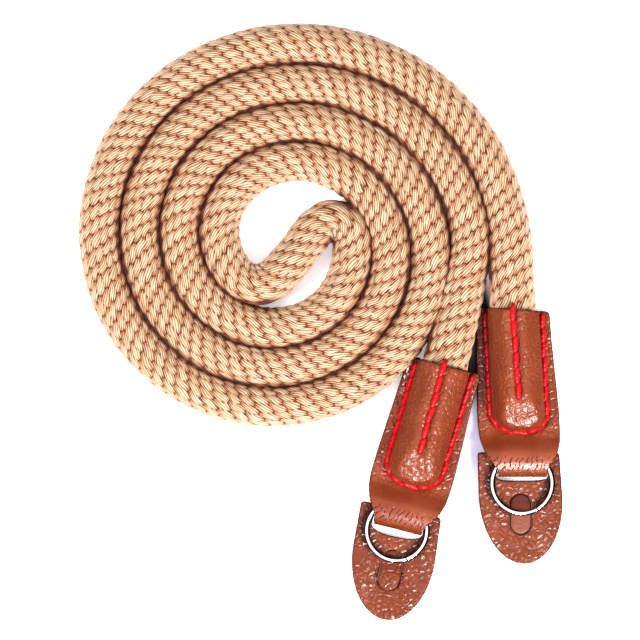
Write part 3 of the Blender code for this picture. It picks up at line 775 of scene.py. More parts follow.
def chrome_material():
    """Polished chrome with faint scratches and smears, and a painted dark reflection on the wire's flanks.
    """
    material, w, shader = new_material("polished chrome", {"Metallic": 1.0})
    place = w.place()
    smear = w.noise(place, 500.0, 3.0)
    bright = w.mix(smear, *CHROME_TONES)
    # Painted reflection: the wire's flanks are dark.
    colour = w.mix(w.smooth(w.attribute("flank"), 0.5, 0.8), bright, CHROME_PAINTED_REFLECTION)
    stretched = w.add("ShaderNodeMapping", {"Vector": place, "Scale": (1.0, 14.0, 3.0)}).outputs[0]
    rough = w.smooth(smear, 0.3, 0.8, 0.04, 0.13)
    w.surface(shader, colour, rough, w.noise(stretched, 900.0), SCRATCH_RELIEF, 0.5)
    return material


# ---------------------------------------------------------------- the rope


def end_place(side, across, from_fold):
    """A place on an end piece: along its slightly turning axis from the fold to the mouth, and across it."""
    data = ENDS[side]
    share = from_fold / END_LENGTH
    angle = np.radians(lerp(data["angles"][0], data["angles"][1], share))
    x = lerp(data["fold"][0], data["mouth"][0], share) + across * np.cos(angle) - LAYOUT_ORIGIN[0]
    y = lerp(data["fold"][1], data["mouth"][1], share) + across * np.sin(angle) - LAYOUT_ORIGIN[1]
    return x, y


def strand(radius, count):
    """One strand of the coil, inwards: reach = radius - pitch * turn, a little flattened along y."""
    turn = np.arange(count) / POINTS_PER_TURN
    reach = radius - COIL_PITCH * turn
    return np.stack([reach * np.cos(2 * np.pi * turn), COIL_SQUASH * reach * np.sin(2 * np.pi * turn)], 1)


def rope_route(step=0.5):
    """The rope's middle line from the right pocket to the left one: even steps along a natural spline."""
    pockets = [np.stack(end_place(side, 0.0, np.array(POCKET_STATIONS)), 1) + LAYOUT_ORIGIN for side in ENDS]
    route = np.concatenate([
        pockets[0], APPROACH_A, strand(*STRAND_A), BIGHT, strand(*STRAND_B)[::-1], APPROACH_B,
        pockets[1][::-1],
    ])
    flat = natural_spline(route, np.linspace(0, len(route) - 1, ROUTE_FINENESS * len(route)))
    length = lengths(flat)
    even = np.linspace(0.0, length[-1], int(round(length[-1] / step)) + 1)
    from_end = np.minimum(even, even[-1] - even)
    fall = smooth_step((from_end - ROPE_FALL[0]) / ROPE_FALL[1])
    height = lerp(POCKET_HEIGHT, ROPE_REST, fall)
    return even, np.column_stack([read(flat, length, even) - LAYOUT_ORIGIN, height])


def slow_waves(s, angle, seed, size):
    """A smooth field over the rope that joins round it: a sum of sines of k s + n angle with odd phases."""
    total = np.zeros_like(s)
    for index, (waves, rounds) in enumerate(WAVES):
        total = total + np.sin(waves * s + rounds * angle + 2.4 * index * (seed + 1) + seed)
    return size * total / 2.4


def bundle_depth(i, j, uneven):
    """Depth below the crown at places of the net: the least over four bundles, as the material has it."""
    ahead, aside = bundle_axes()
    corner_i = np.floor(i)
    corner_j = np.floor(j)
    best = np.full(i.shape, 9.0)
    for p, q in BUNDLES_AROUND:
        di = i - corner_i - p
        dj = j - corner_j - q
        a = ahead[0] * di + ahead[1] * dj
        b = aside[0] * di + aside[1] * dj
        depth = (b / BUNDLE_HALF) ** 2 + np.where(a > 0, (a / BUNDLE_TIP) ** 2, (a / BUNDLE_TAIL) ** 2)
        own_i = (corner_i + p).astype(int)
        chain = (corner_j + q).astype(int) - own_i
        turns = chain // CHAINS
        best = np.minimum(best, depth + uneven[(own_i + CHAIN_SKIP * turns) % len(uneven), chain % CHAINS])
    return best


def pressing(even, middle, tangent):
    """How closely another stretch of rope lies to the left and right: 1 touching, 0 from 2.5 mm on."""
    gap = middle[None, :, :2] - middle[:, None, :2]
    across = np.einsum("abk,ak->ab", gap, leftward(tangent))
    along = np.abs(np.einsum("abk,ak->ab", gap, tangent[:, :2]))
    other = (along < BESIDE_WITHIN) & (np.abs(even[None] - even[:, None]) > BESIDE_FROM)
    reach = [np.where(other & (hand * across > 0), np.abs(across), FAR_AWAY).min(1) for hand in (1, -1)]
    return [fade(distance, *TOUCHING) for distance in reach]


def rope_shape(s, angle, relief, radius, even, middle):
    """Points of the rope, and masks for painted shade and light: how much a turn beside them shades them,
    and how far they face outwards.

    point(s, angle) = middle(s) + side * cos(angle) * wide + up * sin(angle) * high. Near its ends the rope
    is a little flat, in the pockets it is held together, and at its tips it tapers. On the inner side of a
    bend it is squeezed, so that it doesn't pass through its own axis of bending.
    """
    length = even[-1]
    tangent_line = unit(np.gradient(middle, axis=0))
    turn_rate = np.gradient(np.unwrap(np.arctan2(tangent_line[:, 1], tangent_line[:, 0])), even)
    padded = np.pad(turn_rate, TURN_WINDOW // 2, mode="edge")
    turn_rate = np.convolve(padded, np.ones(TURN_WINDOW) / TURN_WINDOW, mode="valid")
    tangent = unit(read(tangent_line, even, s))
    left = unit(np.stack([-tangent[..., 1], tangent[..., 0], np.zeros_like(s)], -1))
    up = np.cross(tangent, left)
    from_end = np.minimum(s, length - s)
    flat = fade(from_end, *FLAT_NEAR_ENDS)
    held = fade(from_end, *HELD_IN_POCKET)
    tapered = lerp(TIP_SHARE, 1.0, smooth_step(from_end / TIP_LENGTH))
    wide = (radius + SIDE_SWELL + relief) * lerp(1.0, FLAT_WIDE, flat) * lerp(1.0, HELD_WIDE, held) * tapered
    high = (radius + relief) * lerp(1.0, FLAT_HIGH, flat) * tapered
    facing = np.cos(angle)
    sideways = wide * facing
    inward = sideways * np.interp(s, even, turn_rate)
    soft = INNER_LIMIT + INNER_ROOM * np.tanh((inward - INNER_LIMIT) / INNER_ROOM)
    sideways = sideways * np.where(inward > INNER_LIMIT, soft / np.maximum(inward, 0.01), 1.0)
    points = read(middle, even, s) + left * sideways[..., None] + up * (high * np.sin(angle))[..., None]
    points[..., 2] = np.maximum(points[..., 2], LOWEST)
    press = pressing(even, middle, tangent_line)
    beside = np.interp(s, even, press[0]) * (facing > 0) + np.interp(s, even, press[1]) * (facing < 0)
    turn_shade = beside * smooth_step((np.abs(facing) - TURN_SHADE_SIDE[0]) / TURN_SHADE_SIDE[1])
    outer = (1.0 - beside) * smooth_step((np.abs(facing) - OUTER_SIDE[0]) / OUTER_SIDE[1])
    return points, turn_shade, outer


def net_faces(u, v):
    """Quads of the rope's net, whose last column joins the first five steps on, and each corner's u, v."""
    rows, columns = u.shape
    quads = grid_faces(rows, columns)
    extra = CHAIN_SKIP * ROWS_PER_STEP
    at = np.arange(rows - 1 - extra) * columns
    on = at + extra * columns
    wrap = np.stack([at + columns - 1, on, on + columns, at + 2 * columns - 1], 1)
    faces = np.concatenate([quads, wrap])
    corner_uv = np.stack([u.ravel()[faces], v.ravel()[faces]], -1)
    corner_uv[len(quads):, 1:3, 1] += CHAINS
    return faces, corner_uv


def make_rope(sizes):
    """The rope, whose mesh follows the net of its bundles.

    i counts steps nearly along the rope and j slanting ones round it, with u = (14 i + 5 j) / 19 periods
    along and v = j - i chains round, and angle = 2 pi v / 19 + the chains' climb. The radius falls from the
    crown by the braid relief times the depth, the least over the bundles near a place of
    (across / half)^2 + (along / tip or tail)^2, so that they meet in creases.
    """
    radius = sizes.rope_thickness * 500.0
    even, middle = rope_route()
    length = even[-1]
    steps_round = CHAINS - CHAIN_SKIP
    last = int(np.ceil(CHAINS * length / BUNDLE_PERIOD / steps_round)) + 1
    rows = (last + CHAIN_SKIP + 1) * ROWS_PER_STEP
    columns = steps_round * COLUMNS_PER_STEP
    i, j = np.meshgrid(
        np.arange(rows) / ROWS_PER_STEP - CHAIN_SKIP - 1, np.arange(columns) / COLUMNS_PER_STEP,
        indexing="ij",
    )
    u = (steps_round * i + CHAIN_SKIP * j) / CHAINS
    v = j - i
    s = u * BUNDLE_PERIOD
    angle = 2.0 * np.pi * v / CHAINS + CHAIN_CLIMB * s / radius
    warp_s, warp_round = (slow_waves(s, angle, seed, sizes.unevenness) for seed in (1, 2))
    uneven = np.random.default_rng(7).normal(0.0, BUNDLE_SPREAD, (last + CHAIN_SKIP + 8, CHAINS))
    depth = np.minimum(bundle_depth(i, j, uneven), BUNDLE_DEEPEST)
    s = np.clip(s + warp_s, 0.0, length)
    angle = angle + warp_round / radius
    ends = smooth_step(np.minimum(s, length - s) / PLAIN_TIP)
    relief = lerp(PLAIN_TIP_RELIEF, -sizes.braid_relief * depth, ends)
    points, turn_shade, outer = rope_shape(s, angle, relief, radius, even, middle)
    faces, corner_uv = net_faces(u, v)
    reached = s.ravel()[faces]
    live = (reached.max(1) > 1e-6) & (reached.min(1) < length - 1e-6)
    piece = new_piece(
        "rope_braid", points.reshape(-1, 3), [faces[live]], rope_material(sizes.rope_light, sizes.rope_deep),
        uv=corner_uv[live].reshape(-1, 2), values={"turn_shade": turn_shade, "outer": outer},
    )
    close_ends(piece, middle[[0, -1]])
    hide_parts("rope")
    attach(piece, "strap")


def close_ends(piece, tips):
    """Welds the points that meet at the two tips and closes the holes there."""
    mesh = bmesh.new()
    mesh.from_mesh(piece.data)
    loose = [vertex for vertex in mesh.verts if not vertex.link_faces]
    bmesh.ops.delete(mesh, geom=loose, context="VERTS")
    near = []
    for tip in tips:
        middle = Vector(tip) * MM
        near += [vertex for vertex in mesh.verts if (vertex.co - middle).length < TIP_REACH]
    bmesh.ops.remove_doubles(mesh, verts=near, dist=2e-6)
    bmesh.ops.dissolve_degenerate(mesh, dist=1e-7, edges=mesh.edges)
    rim = [edge for edge in mesh.edges if edge.is_boundary]
    bmesh.ops.holes_fill(mesh, edges=rim, sides=0)
    mesh.to_mesh(piece.data)
    mesh.free()


# ---------------------------------------------------------------- leather ends


def stitch_path(count):
    """The side stitches' line on an end piece: down the left, round a half ellipse, up the right."""
    half, bend_at, drop = STITCH_LINE
    turn = np.linspace(np.pi, 2 * np.pi, 60)
    round_end = np.stack([half * np.cos(turn), bend_at + drop * np.sin(turn)], 1)
    line = np.concatenate([STITCH_STARTS[:1], round_end, STITCH_STARTS[1:]])
    length = lengths(line)
    return read(line, length, np.linspace(0.0, length[-1], count))


def nearest(across, from_fold, line):
    """Distance from each place to the nearest of the line's points."""
    flat = np.stack([across.ravel(), from_fold.ravel()], 1)
    best = np.full(len(flat), np.inf)
    for block in np.array_split(line, 8):
        best = np.minimum(best, np.linalg.norm(flat[:, None] - block[None], axis=2).min(1))
    return best.reshape(across.shape)


def end_top(across, from_fold):
    """Height of an end piece's top: a loop that falls to the wings, and a rounded bulge over the rope.

    The bulge is 10.5 * sqrt(r) with r = 1 - |a / w|^2.6 - (d / e)^2.2, its foot rounded by a soft limit.
    Over the rope's cut end a falling plane flattens it; the lower of the two counts, softly. The middle line
    of stitches draws a valley into it, and the side stitches draw a groove round its foot.
    """
    loop = WING_TOP + (LOOP_TOP - WING_TOP) * fade(from_fold, *LOOP_FALL)
    half, bend_at, reach = BULGE
    fill = 1.0 - np.abs(across / half) ** BULGE_POWERS[0]
    fill = fill - (np.maximum(0.0, bend_at - from_fold) / reach) ** BULGE_POWERS[1]
    swell = np.sqrt(BULGE_FOOT * np.logaddexp(0.0, fill / BULGE_FOOT))
    level, level_at, rise = FACET
    facet = level + rise * (from_fold - level_at)
    bulge = -FACET_SOFTNESS * np.logaddexp(-BULGE_HEIGHT * swell / FACET_SOFTNESS, -facet / FACET_SOFTNESS)
    sink, wide, start, span = VALLEY
    valley = sink * np.exp(-((across / wide) ** 2)) * smooth_step((from_fold - start) / span)
    groove = GROOVE[0] * np.exp(-((nearest(across, from_fold, stitch_path(160)) / GROOVE[1]) ** 2))
    return loop + np.maximum(bulge, 0.0) - valley - groove * (swell < 0.5)


def lifted(side, across, from_fold):
    """How far an end piece's corners at the mouth ride up on the rope and on the other end piece."""
    beside, beside_span, along, along_span = CORNER_LIFT
    to_mouth = smooth_step((from_fold - along) / along_span)
    rise = 0.0
    for hand, height in ENDS[side]["corners"]:
        rise = rise + height * smooth_step((hand * across - beside) / beside_span) * to_mouth
    return rise


def crowded(low, high, count, places, gain, width):
    """Numbers from low to high that stand closer together near the places."""
    fine = np.linspace(low, high, 4000)
    density = 1.0 + sum(gain * np.exp(-(((fine - place) / width) ** 2)) for place in places)
    total = np.concatenate([[0.0], np.cumsum((density[1:] + density[:-1]) / 2)])
    return np.interp(np.linspace(0.0, total[-1], count), total, fine)


def thickened(outer):
    """A layer of leather from its outer side's grid: points, faces and the numbers of the rim's points.

    The inner side lies one thickness further in along the normal, and a third line of points, a little
    outside the middle of both, rounds the edge between them.
    """
    rows, columns = outer.shape[:2]
    normal = unit(np.cross(np.gradient(outer, axis=1), np.gradient(outer, axis=0)))
    flat_outer = outer.reshape(-1, 3)
    flat_inner = (outer - LEATHER * normal).reshape(-1, 3)
    rim = np.concatenate([
        np.arange(columns), columns - 1 + columns * np.arange(1, rows),
        columns * (rows - 1) + np.arange(columns - 2, -1, -1), columns * np.arange(rows - 2, 0, -1),
    ])
    rim_outer = flat_outer[rim]
    along_rim = unit(np.roll(rim_outer, -1, axis=0) - np.roll(rim_outer, 1, axis=0))
    outward = unit(np.cross(along_rim, normal.reshape(-1, 3)[rim]))
    middle = (rim_outer + flat_inner[rim]) / 2 + EDGE_ROUNDING * outward
    count = rows * columns
    faces = grid_faces(rows, columns)
    mid = 2 * count + np.arange(len(rim))
    next_mid = np.roll(mid, -1)
    next_rim = np.roll(rim, -1)
    upper = np.stack([rim, mid, next_mid, next_rim], 1)
    lower = np.stack([mid, rim + count, next_rim + count, next_mid], 1)
    faces = np.concatenate([faces, faces[:, ::-1] + count, upper, lower])
    return np.concatenate([flat_outer, flat_inner, middle]), faces, rim


def make_end(side, material):
    """One leather end piece: a strip from the mouth along the bottom, round the fold and back on top.

    point(q, f): q is the way along the strip and f the share of the half width. The bottom is flat, the fold
    a half circle, and the top is end_top.
    """
    shares = crowded(-1.0, 1.0, END_COLUMNS, *END_CROWDED)
    bottom = np.linspace(END_LENGTH, ROLL, END_ROWS[0])[:-1]
    turn = np.linspace(-np.pi / 2, np.pi / 2, END_ROWS[1])
    top = np.concatenate([np.linspace(*stretch)[1:] for stretch in END_STRETCHES])
    reach = np.where(turn < 0, ROLL, LOOP_CROWN)
    from_fold = np.concatenate([bottom, reach - reach * np.cos(turn), top])
    under_reach, over_reach = FOLD_REACHES
    over_fold = np.interp(turn, (-np.pi / 2, 0.0, np.pi / 2), (-under_reach, 0.0, over_reach))
    way = np.concatenate([-bottom - (under_reach - ROLL), over_fold, top + (over_reach - LOOP_CROWN)])
    half = np.interp(from_fold, END_OUTLINE[:, 0], END_OUTLINE[:, 1])
    span, cut_back = MOUTH_CORNER
    corner = np.sqrt(np.maximum(0.0, 1.0 - (np.maximum(0.0, from_fold - (END_LENGTH - span)) / span) ** 2))
    half = half - cut_back * (1.0 - corner)
    across = half[:, None] * shares
    d = np.broadcast_to(from_fold[:, None], across.shape)
    height = np.zeros_like(across)
    rolled = slice(len(bottom), len(bottom) + len(turn))
    height[rolled] = (ROLL + np.where(turn < 0, ROLL, LOOP_TOP - ROLL) * np.sin(turn))[:, None]
    height[rolled.stop:] = end_top(across[rolled.stop:], d[rolled.stop:])
    height = height + lifted(side, across, d)
    x, y = end_place(side, across, d)
    points, faces, rim = thickened(np.stack([x, y, height], -1))
    strip_uv = np.stack([across.ravel(), np.broadcast_to(way[:, None], across.shape).ravel()], 1) / 10.0
    uv = np.concatenate([strip_uv, strip_uv, strip_uv[rim]])[faces].reshape(-1, 2)
    cut = np.concatenate([np.zeros(across.size), np.ones(across.size + len(rim))])
    piece = new_piece(f"end_leather_{side}", points, [faces], material, uv=uv, values={"cut": cut})
    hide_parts(f"leather_end_{side}")
    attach(piece, "strap")


def thread_run(ends_flat, heights, radius):
    """Stitches as short plump rolls: each follows its two holes, dives at both and rises between them.

    ends_flat is (n, 2, 2), the holes of each stitch on the surface, and heights (n, stations) the surface
    below. The arch is sin(pi t)^0.22, and the roll is thinner at its ends.
    """
    t = np.linspace(0.0, 1.0, heights.shape[1])
    line = lerp(ends_flat[:, :1], ends_flat[:, 1:], t[None, :, None])
    z = heights - STITCH_DIVE + (STITCH_DIVE + STITCH_LIFT) * np.sin(np.pi * t) ** STITCH_ARCH
    centre = np.concatenate([line, z[..., None]], -1)
    tangent = unit(np.gradient(centre, axis=1))
    side = unit(np.cross(tangent, np.array([0.0, 0.0, 1.0])))
    up = np.cross(side, tangent)
    turn = np.linspace(0.0, 2 * np.pi, STITCH_SIDES, endpoint=False)
    thin, power = STITCH_TAPER
    taper = radius * (thin + (1.0 - thin) * np.sin(np.pi * np.clip(t, 0.02, 0.98)) ** power)
    around = side[:, :, None] * np.cos(turn)[:, None] + up[:, :, None] * np.sin(turn)[:, None]
    return centre[:, :, None] + around * taper[None, :, None, None]


def make_stitches(side, material, thread_radius):
    """The red stitches of one end piece: the line round the bulge and the line down its middle."""
    holes = []
    chance = np.random.default_rng(5)
    for line, pitch in zip((stitch_path(400), CENTRE_LINE), STITCH_PITCHES):
        length = lengths(line)
        count = int(round(length[-1] / pitch))
        edges = np.linspace(0.0, length[-1], count + 1)
        pair = [read(line, length, at) for at in (edges[:-1] - STITCH_OVERLAP, edges[1:] + STITCH_OVERLAP)]
        aside = leftward(unit(pair[1] - pair[0]))
        askew, spread = STITCH_SKEW
        skew = [aside * (hand * askew + chance.normal(0.0, spread, (count, 1))) for hand in (1, -1)]
        holes.append(np.stack([pair[0] + skew[0], pair[1] + skew[1]], 1))
    holes = np.concatenate(holes)
    t = np.linspace(0.0, 1.0, STITCH_STATIONS)[None, :, None]
    local = lerp(holes[:, :1], holes[:, 1:], t)
    across, from_fold = local[..., 0], local[..., 1]
    heights = end_top(across, np.minimum(from_fold, END_LENGTH)) + lifted(side, across, from_fold)
    x, y = end_place(side, holes[..., 0], holes[..., 1])
    points = thread_run(np.stack([x, y], -1), heights, thread_radius)
    stitches = len(holes)
    size = STITCH_STATIONS * STITCH_SIDES
    starts = np.arange(stitches)[:, None] * size
    single = grid_faces(STITCH_STATIONS, STITCH_SIDES, closed=True)[:, ::-1]
    faces = (single[None] + starts[:, None]).reshape(-1, 4)
    first = starts + np.arange(STITCH_SIDES)
    last = starts + (size - STITCH_SIDES) + np.arange(STITCH_SIDES)[::-1]
    around = np.tile(np.linspace(0, 1, STITCH_SIDES, endpoint=False), STITCH_STATIONS * stitches)
    along = np.linspace(0.0, STITCH_MAP_LENGTH, STITCH_STATIONS)
    along = np.tile(np.repeat(along, STITCH_SIDES), stitches)
    corners = np.concatenate([faces.ravel(), first.ravel(), last.ravel()])
    uv = np.stack([around, along], 1)[corners]
    piece = new_piece(f"stitches_{side}", points.reshape(-1, 3), [faces, first, last], material, uv=uv)
    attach(piece, "strap")


# ---------------------------------------------------------------- tabs


def tab_place(side, sideways, down, over):
    """A place on a tab: sideways and down from the middle of its top edge, and over the tab's underside."""
    data = TABS[side]
    tilt = math.atan(TAB_SLOPE)
    up_slope = TAB_LENGTH - down
    along = up_slope * math.cos(tilt) - over * math.sin(tilt) - TAB_LENGTH
    height = up_slope * math.sin(tilt) + over * math.cos(tilt)
    angle = math.radians(data["angle"])
    x = data["top"][0] + sideways * math.cos(angle) - along * math.sin(angle) - LAYOUT_ORIGIN[0]
    y = data["top"][1] + sideways * math.sin(angle) + along * math.cos(angle) - LAYOUT_ORIGIN[1]
    return np.stack([x, y, height], -1)


def evenly(line, count):
    """A closed line's points, evenly spaced."""
    closed = np.concatenate([line, line[:1]])
    length = lengths(closed)
    return read(closed, length, np.linspace(0.0, length[-1], count, endpoint=False))


def rounded(line, times):
    """A closed line's corners softened by averaging each point with its neighbours."""
    for _ in range(times):
        line = 0.5 * line + 0.25 * (np.roll(line, 1, axis=0) + np.roll(line, -1, axis=0))
    return line


def offset(line, distance):
    """A closed line moved to its left by a distance."""
    return line + distance * leftward(unit(np.roll(line, -1, axis=0) - np.roll(line, 1, axis=0)))


def inside(points, line):
    """True where a point lies inside a closed line: an odd number of edges to its right."""
    a = line
    b = np.roll(line, -1, axis=0)
    px = points[:, 0][:, None]
    py = points[:, 1][:, None]
    crosses = (a[:, 1] > py) != (b[:, 1] > py)
    with np.errstate(divide="ignore", invalid="ignore"):
        at = a[:, 0] + (py - a[:, 1]) / (b[:, 1] - a[:, 1]) * (b[:, 0] - a[:, 0])
    return (np.sum(crosses & (px < at), axis=1) % 2) == 1


def pill(sideways, top, bottom, half, count):
    """A round-ended slot's outline, clockwise on (sideways, down)."""
    turn = np.linspace(0, np.pi, 40)
    upper = np.stack([sideways - half * np.cos(turn), top + half - half * np.sin(turn)], 1)
    lower = np.stack([sideways + half * np.cos(turn), bottom - half + half * np.sin(turn)], 1)
    return evenly(np.concatenate([upper, lower]), count)


def tab_outline():
    """The tab's outline: a straight top edge, straight sides and a half ellipse, all leaning a little."""
    turn = np.linspace(0, np.pi, 90)
    line = np.concatenate([
        [(-TAB_TOP_HALF, 0.0), (TAB_TOP_HALF, 0.0)],
        np.stack([TAB_HALF * np.cos(turn), TAB_STRAIGHT + (TAB_LENGTH - TAB_STRAIGHT) * np.sin(turn)], 1),
    ])
    line = rounded(evenly(line, 200), 3)
    line[:, 0] += TAB_LEAN * line[:, 1]
    return line


def tab_slot(side):
    """The slot that the end piece passes through: straight above, a shallow arc of 1 - s^4 below."""
    middle, fold = TABS[side]["fold"]
    above, below = SLOT_AT_FOLD
    s = np.linspace(1, -1, 40)
    lower = np.stack([middle + SLOT_HALF * s, fold + below + TABS[side]["sliver"] * (1.0 - s**4)], 1)
    line = np.concatenate([[(middle - SLOT_HALF, fold - above), (middle + SLOT_HALF, fold - above)], lower])
    return rounded(evenly(line, 70), 2)


def within(points, lines):
    """True where a point lies inside the first closed line and outside the others."""
    kept = inside(points, lines[0])
    for line in lines[1:]:
        kept &= ~inside(points, line)
    return kept


def filled(lines):
    """Points and triangles between closed lines, the first around the rest, and each line point's successor.

    The lines' own points come first, then those of a lattice that keeps clear of them.
    """
    axes = np.arange(-12.0, 13.0, LATTICE), np.arange(-1.0, 30.0, LATTICE)
    lattice = np.stack(np.meshgrid(*axes), -1).reshape(-1, 2)
    rim = np.concatenate(lines)
    clear = within(lattice, lines)
    clear &= np.linalg.norm(lattice[:, None] - rim[None], axis=2).min(1) > LATTICE_CLEARANCE
    counts = [len(line) for line in lines]
    starts = np.cumsum(counts) - counts
    after = np.concatenate([
        start + (np.arange(count) + 1) % count for start, count in zip(starts, counts)
    ])
    flat = np.concatenate([rim, lattice[clear]])
    edges = np.stack([np.arange(len(rim)), after], 1).tolist()
    made = delaunay_2d_cdt([Vector(p) for p in flat], edges, [], 0, 1e-6)
    found = np.array([tuple(p) for p in made[0]])
    triangles = np.array([face for face in made[2] if len(face) == 3])
    if len(found) != len(flat):
        raise RuntimeError("the lines of a leather plate cross")
    triangles = triangles[within(found[triangles].mean(1), lines)]
    a, b, c = (found[triangles[:, k]] for k in range(3))
    area = np.cross(b - a, c - a)
    triangles[area > 0] = triangles[area > 0][:, ::-1]
    return found, triangles[np.abs(area) > 1e-5], after


def plate(side, loops, bend):
    """A leather plate between closed lines, the first around it and the rest holes, with rounded edges.

    Both faces are a triangulation of the lines and an inner lattice; each edge is four more rows of points
    that go round from the top face to the bottom one, along TAB_EDGE's distances in and down. bend is how
    far the leather stands off its plane.
    """
    outlines = [line if index == 0 else line[::-1] for index, line in enumerate(loops)]
    found, triangles, after = filled([offset(line, TAB_EDGE[0][0]) for line in outlines])
    size = len(found)
    total = len(after)
    ring = np.arange(total)
    over = TAB_THICKNESS + bend(found)
    points = [tab_place(side, *found.T, over), tab_place(side, *found.T, over - TAB_THICKNESS)]
    cut = [np.zeros(size), np.ones(size)]
    rows = [ring]
    for index, (back, drop) in enumerate(TAB_EDGE[1:-1]):
        row = np.concatenate([offset(line, back) for line in outlines])
        points.append(tab_place(side, *row.T, TAB_THICKNESS - drop + bend(row)))
        cut.append(np.full(total, 0.0 if drop < 0.2 else 1.0))
        rows.append(2 * size + index * total + ring)
    rows.append(ring + size)
    quads = []
    for upper, lower in zip(rows[:-1], rows[1:]):
        quads.append(np.stack([upper, upper[after], lower[after], lower], 1))
    points = np.concatenate(points)
    points[:, 2] = np.maximum(points[:, 2], 0.01)
    faces = [triangles, triangles[:, ::-1] + size, np.concatenate(quads)]
    uv_points = np.zeros((len(points), 2))
    uv_points[:size] = found / 10.0
    corners = np.concatenate([block.ravel() for block in faces])
    return points, faces, uv_points[corners], np.concatenate(cut)


def make_tab(side, material, tongue_leather):
    """One protector tab: a plate with a slot for the end piece and a round-ended hole with a tongue in it.

    The tab's leather stands off its plane in two slow waves below the slot. The tongue is flat where the
    ring crosses it and steps smoothly to its heights above and below.
    """
    inner = [TONGUE[key] for key in ("sideways", "top", "bottom", "half")]
    opening = pill(*(value + TONGUE_CUT * way for value, way in zip(inner, (0, -1, 1, 1))), 90)
    upper, waist, lower = TABS[side]["tongue"]
    crossing = TABS[side]["ring"][1] + RING_FROM_MIDDLE

    def sag(flat):
        wave = 0.16 * np.sin(0.33 * flat[:, 0] + 0.21 * flat[:, 1] + TABS[side]["wave"])
        wave = wave + 0.08 * np.sin(0.71 * flat[:, 0] - 0.47 * flat[:, 1])
        return wave * smooth_step((flat[:, 1] - 15.0) / 5.0)

    def tongue_bend(flat):
        toward_top = smooth_step((crossing - TONGUE_FLAT - flat[:, 1]) / TONGUE_STEPS[0])
        toward_end = smooth_step((flat[:, 1] - crossing - TONGUE_FLAT) / TONGUE_STEPS[1])
        return upper * toward_top + lower * toward_end + waist

    for title, loops, bend, skin in (
        (f"tab_leather_{side}", [tab_outline(), tab_slot(side), opening], sag, material),
        (f"tab_tongue_{side}", [pill(*inner, 84)], tongue_bend, tongue_leather),
    ):
        points, faces, uv, cut = plate(side, loops, bend)
        piece = new_piece(title, points, faces, skin, uv=uv, values={"cut": cut})
        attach(piece, "strap")
    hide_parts(f"tab_{side}")


# ---------------------------------------------------------------- split rings


def make_ring(side, material):
    """One split ring: a flat wire of rounded section wound twice, stepping from the upper turn to the lower.

    point(a, b) = centre + radial(a) * (r + section_x(b)) + axis * (level(a) + section_z(b)); a runs over
    nearly two turns, and level falls by half the ring's height between the two ends of the wire. The
    section's sides are cosine and sine to the power 1.15, and the wire's last 0.22 mm is rounded off.
    """
    upper_end, lower_end = (math.radians(angle) for angle in RING_SPLITS)
    start = upper_end + RING_OVERLAP_GAP
    stop = start + 4 * np.pi - 2 * RING_OVERLAP_GAP - (upper_end - lower_end)
    turn = np.linspace(start, stop, RING_POINTS[0])
    quarter = RING_HEIGHT / 4
    drop_from = start + 2 * np.pi - 2 * RING_OVERLAP_GAP - (upper_end - lower_end)
    share = smooth_step((turn - drop_from) / (upper_end - lower_end))
    level = lerp(quarter, -quarter, share)
    width = RING_OUTER - RING_INNER - 2 * RING_SHIFT
    corner = np.linspace(0, 2 * np.pi, RING_POINTS[1], endpoint=False)
    section_x = (width / 2) * np.sign(np.cos(corner)) * np.abs(np.cos(corner)) ** RING_CORNERS
    section_z = (quarter - RING_TURN_GAP) * np.sign(np.sin(corner)) * np.abs(np.sin(corner)) ** RING_CORNERS
    ends = np.minimum(turn - start, stop - turn) * (RING_OUTER + RING_INNER) / 2
    shrink = np.sqrt(np.clip(1.0 - (1.0 - np.clip(ends / WIRE_END, 0, 1)) ** 2, 0.25, 1.0))
    reach = (RING_OUTER + RING_INNER) / 2 + section_x[None] * shrink[:, None]
    ring_sideways, ring_down = TABS[side]["ring"]
    a = ring_sideways + reach * np.cos(turn)[:, None] + lerp(-RING_SHIFT, RING_SHIFT, share)[:, None]
    b = ring_down - reach * np.sin(turn)[:, None]
    over = TAB_THICKNESS + RING_OVER_TAB + level[:, None] + section_z[None] * shrink[:, None]
    points = tab_place(side, a, b, over)
    rows, columns = a.shape
    faces = grid_faces(rows, columns, closed=True)
    first = np.arange(columns)[None]
    last = ((rows - 1) * columns + np.arange(columns))[::-1][None]
    flank = np.broadcast_to(np.abs(np.cos(corner)), a.shape)
    piece = new_piece(
        f"split_ring_wire_{side}", points.reshape(-1, 3), [faces[:, ::-1], first, last], material,
        values={"flank": flank},
    )
    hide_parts(f"split_ring_{side}")
    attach(piece, f"ring_{side}")


# ---------------------------------------------------------------- stage


def make_camera(look):
    """A long lens straight above the middle of the photograph, as high as its view's width asks for."""
    data = bpy.data.cameras.new("camera")
    data.lens = LENS
    data.sensor_width = SENSOR
    data.clip_start = 0.05
    data.clip_end = 50.0
    camera = bpy.data.objects.new("camera", data)
    rise = look.view_width * data.lens / data.sensor_width + ROPE_REST * MM
    camera.location = Vector(VIEW_MIDDLE) + Vector((0.0, 0.0, rise))
    bpy.context.scene.collection.objects.link(camera)
    bpy.context.scene.camera = camera


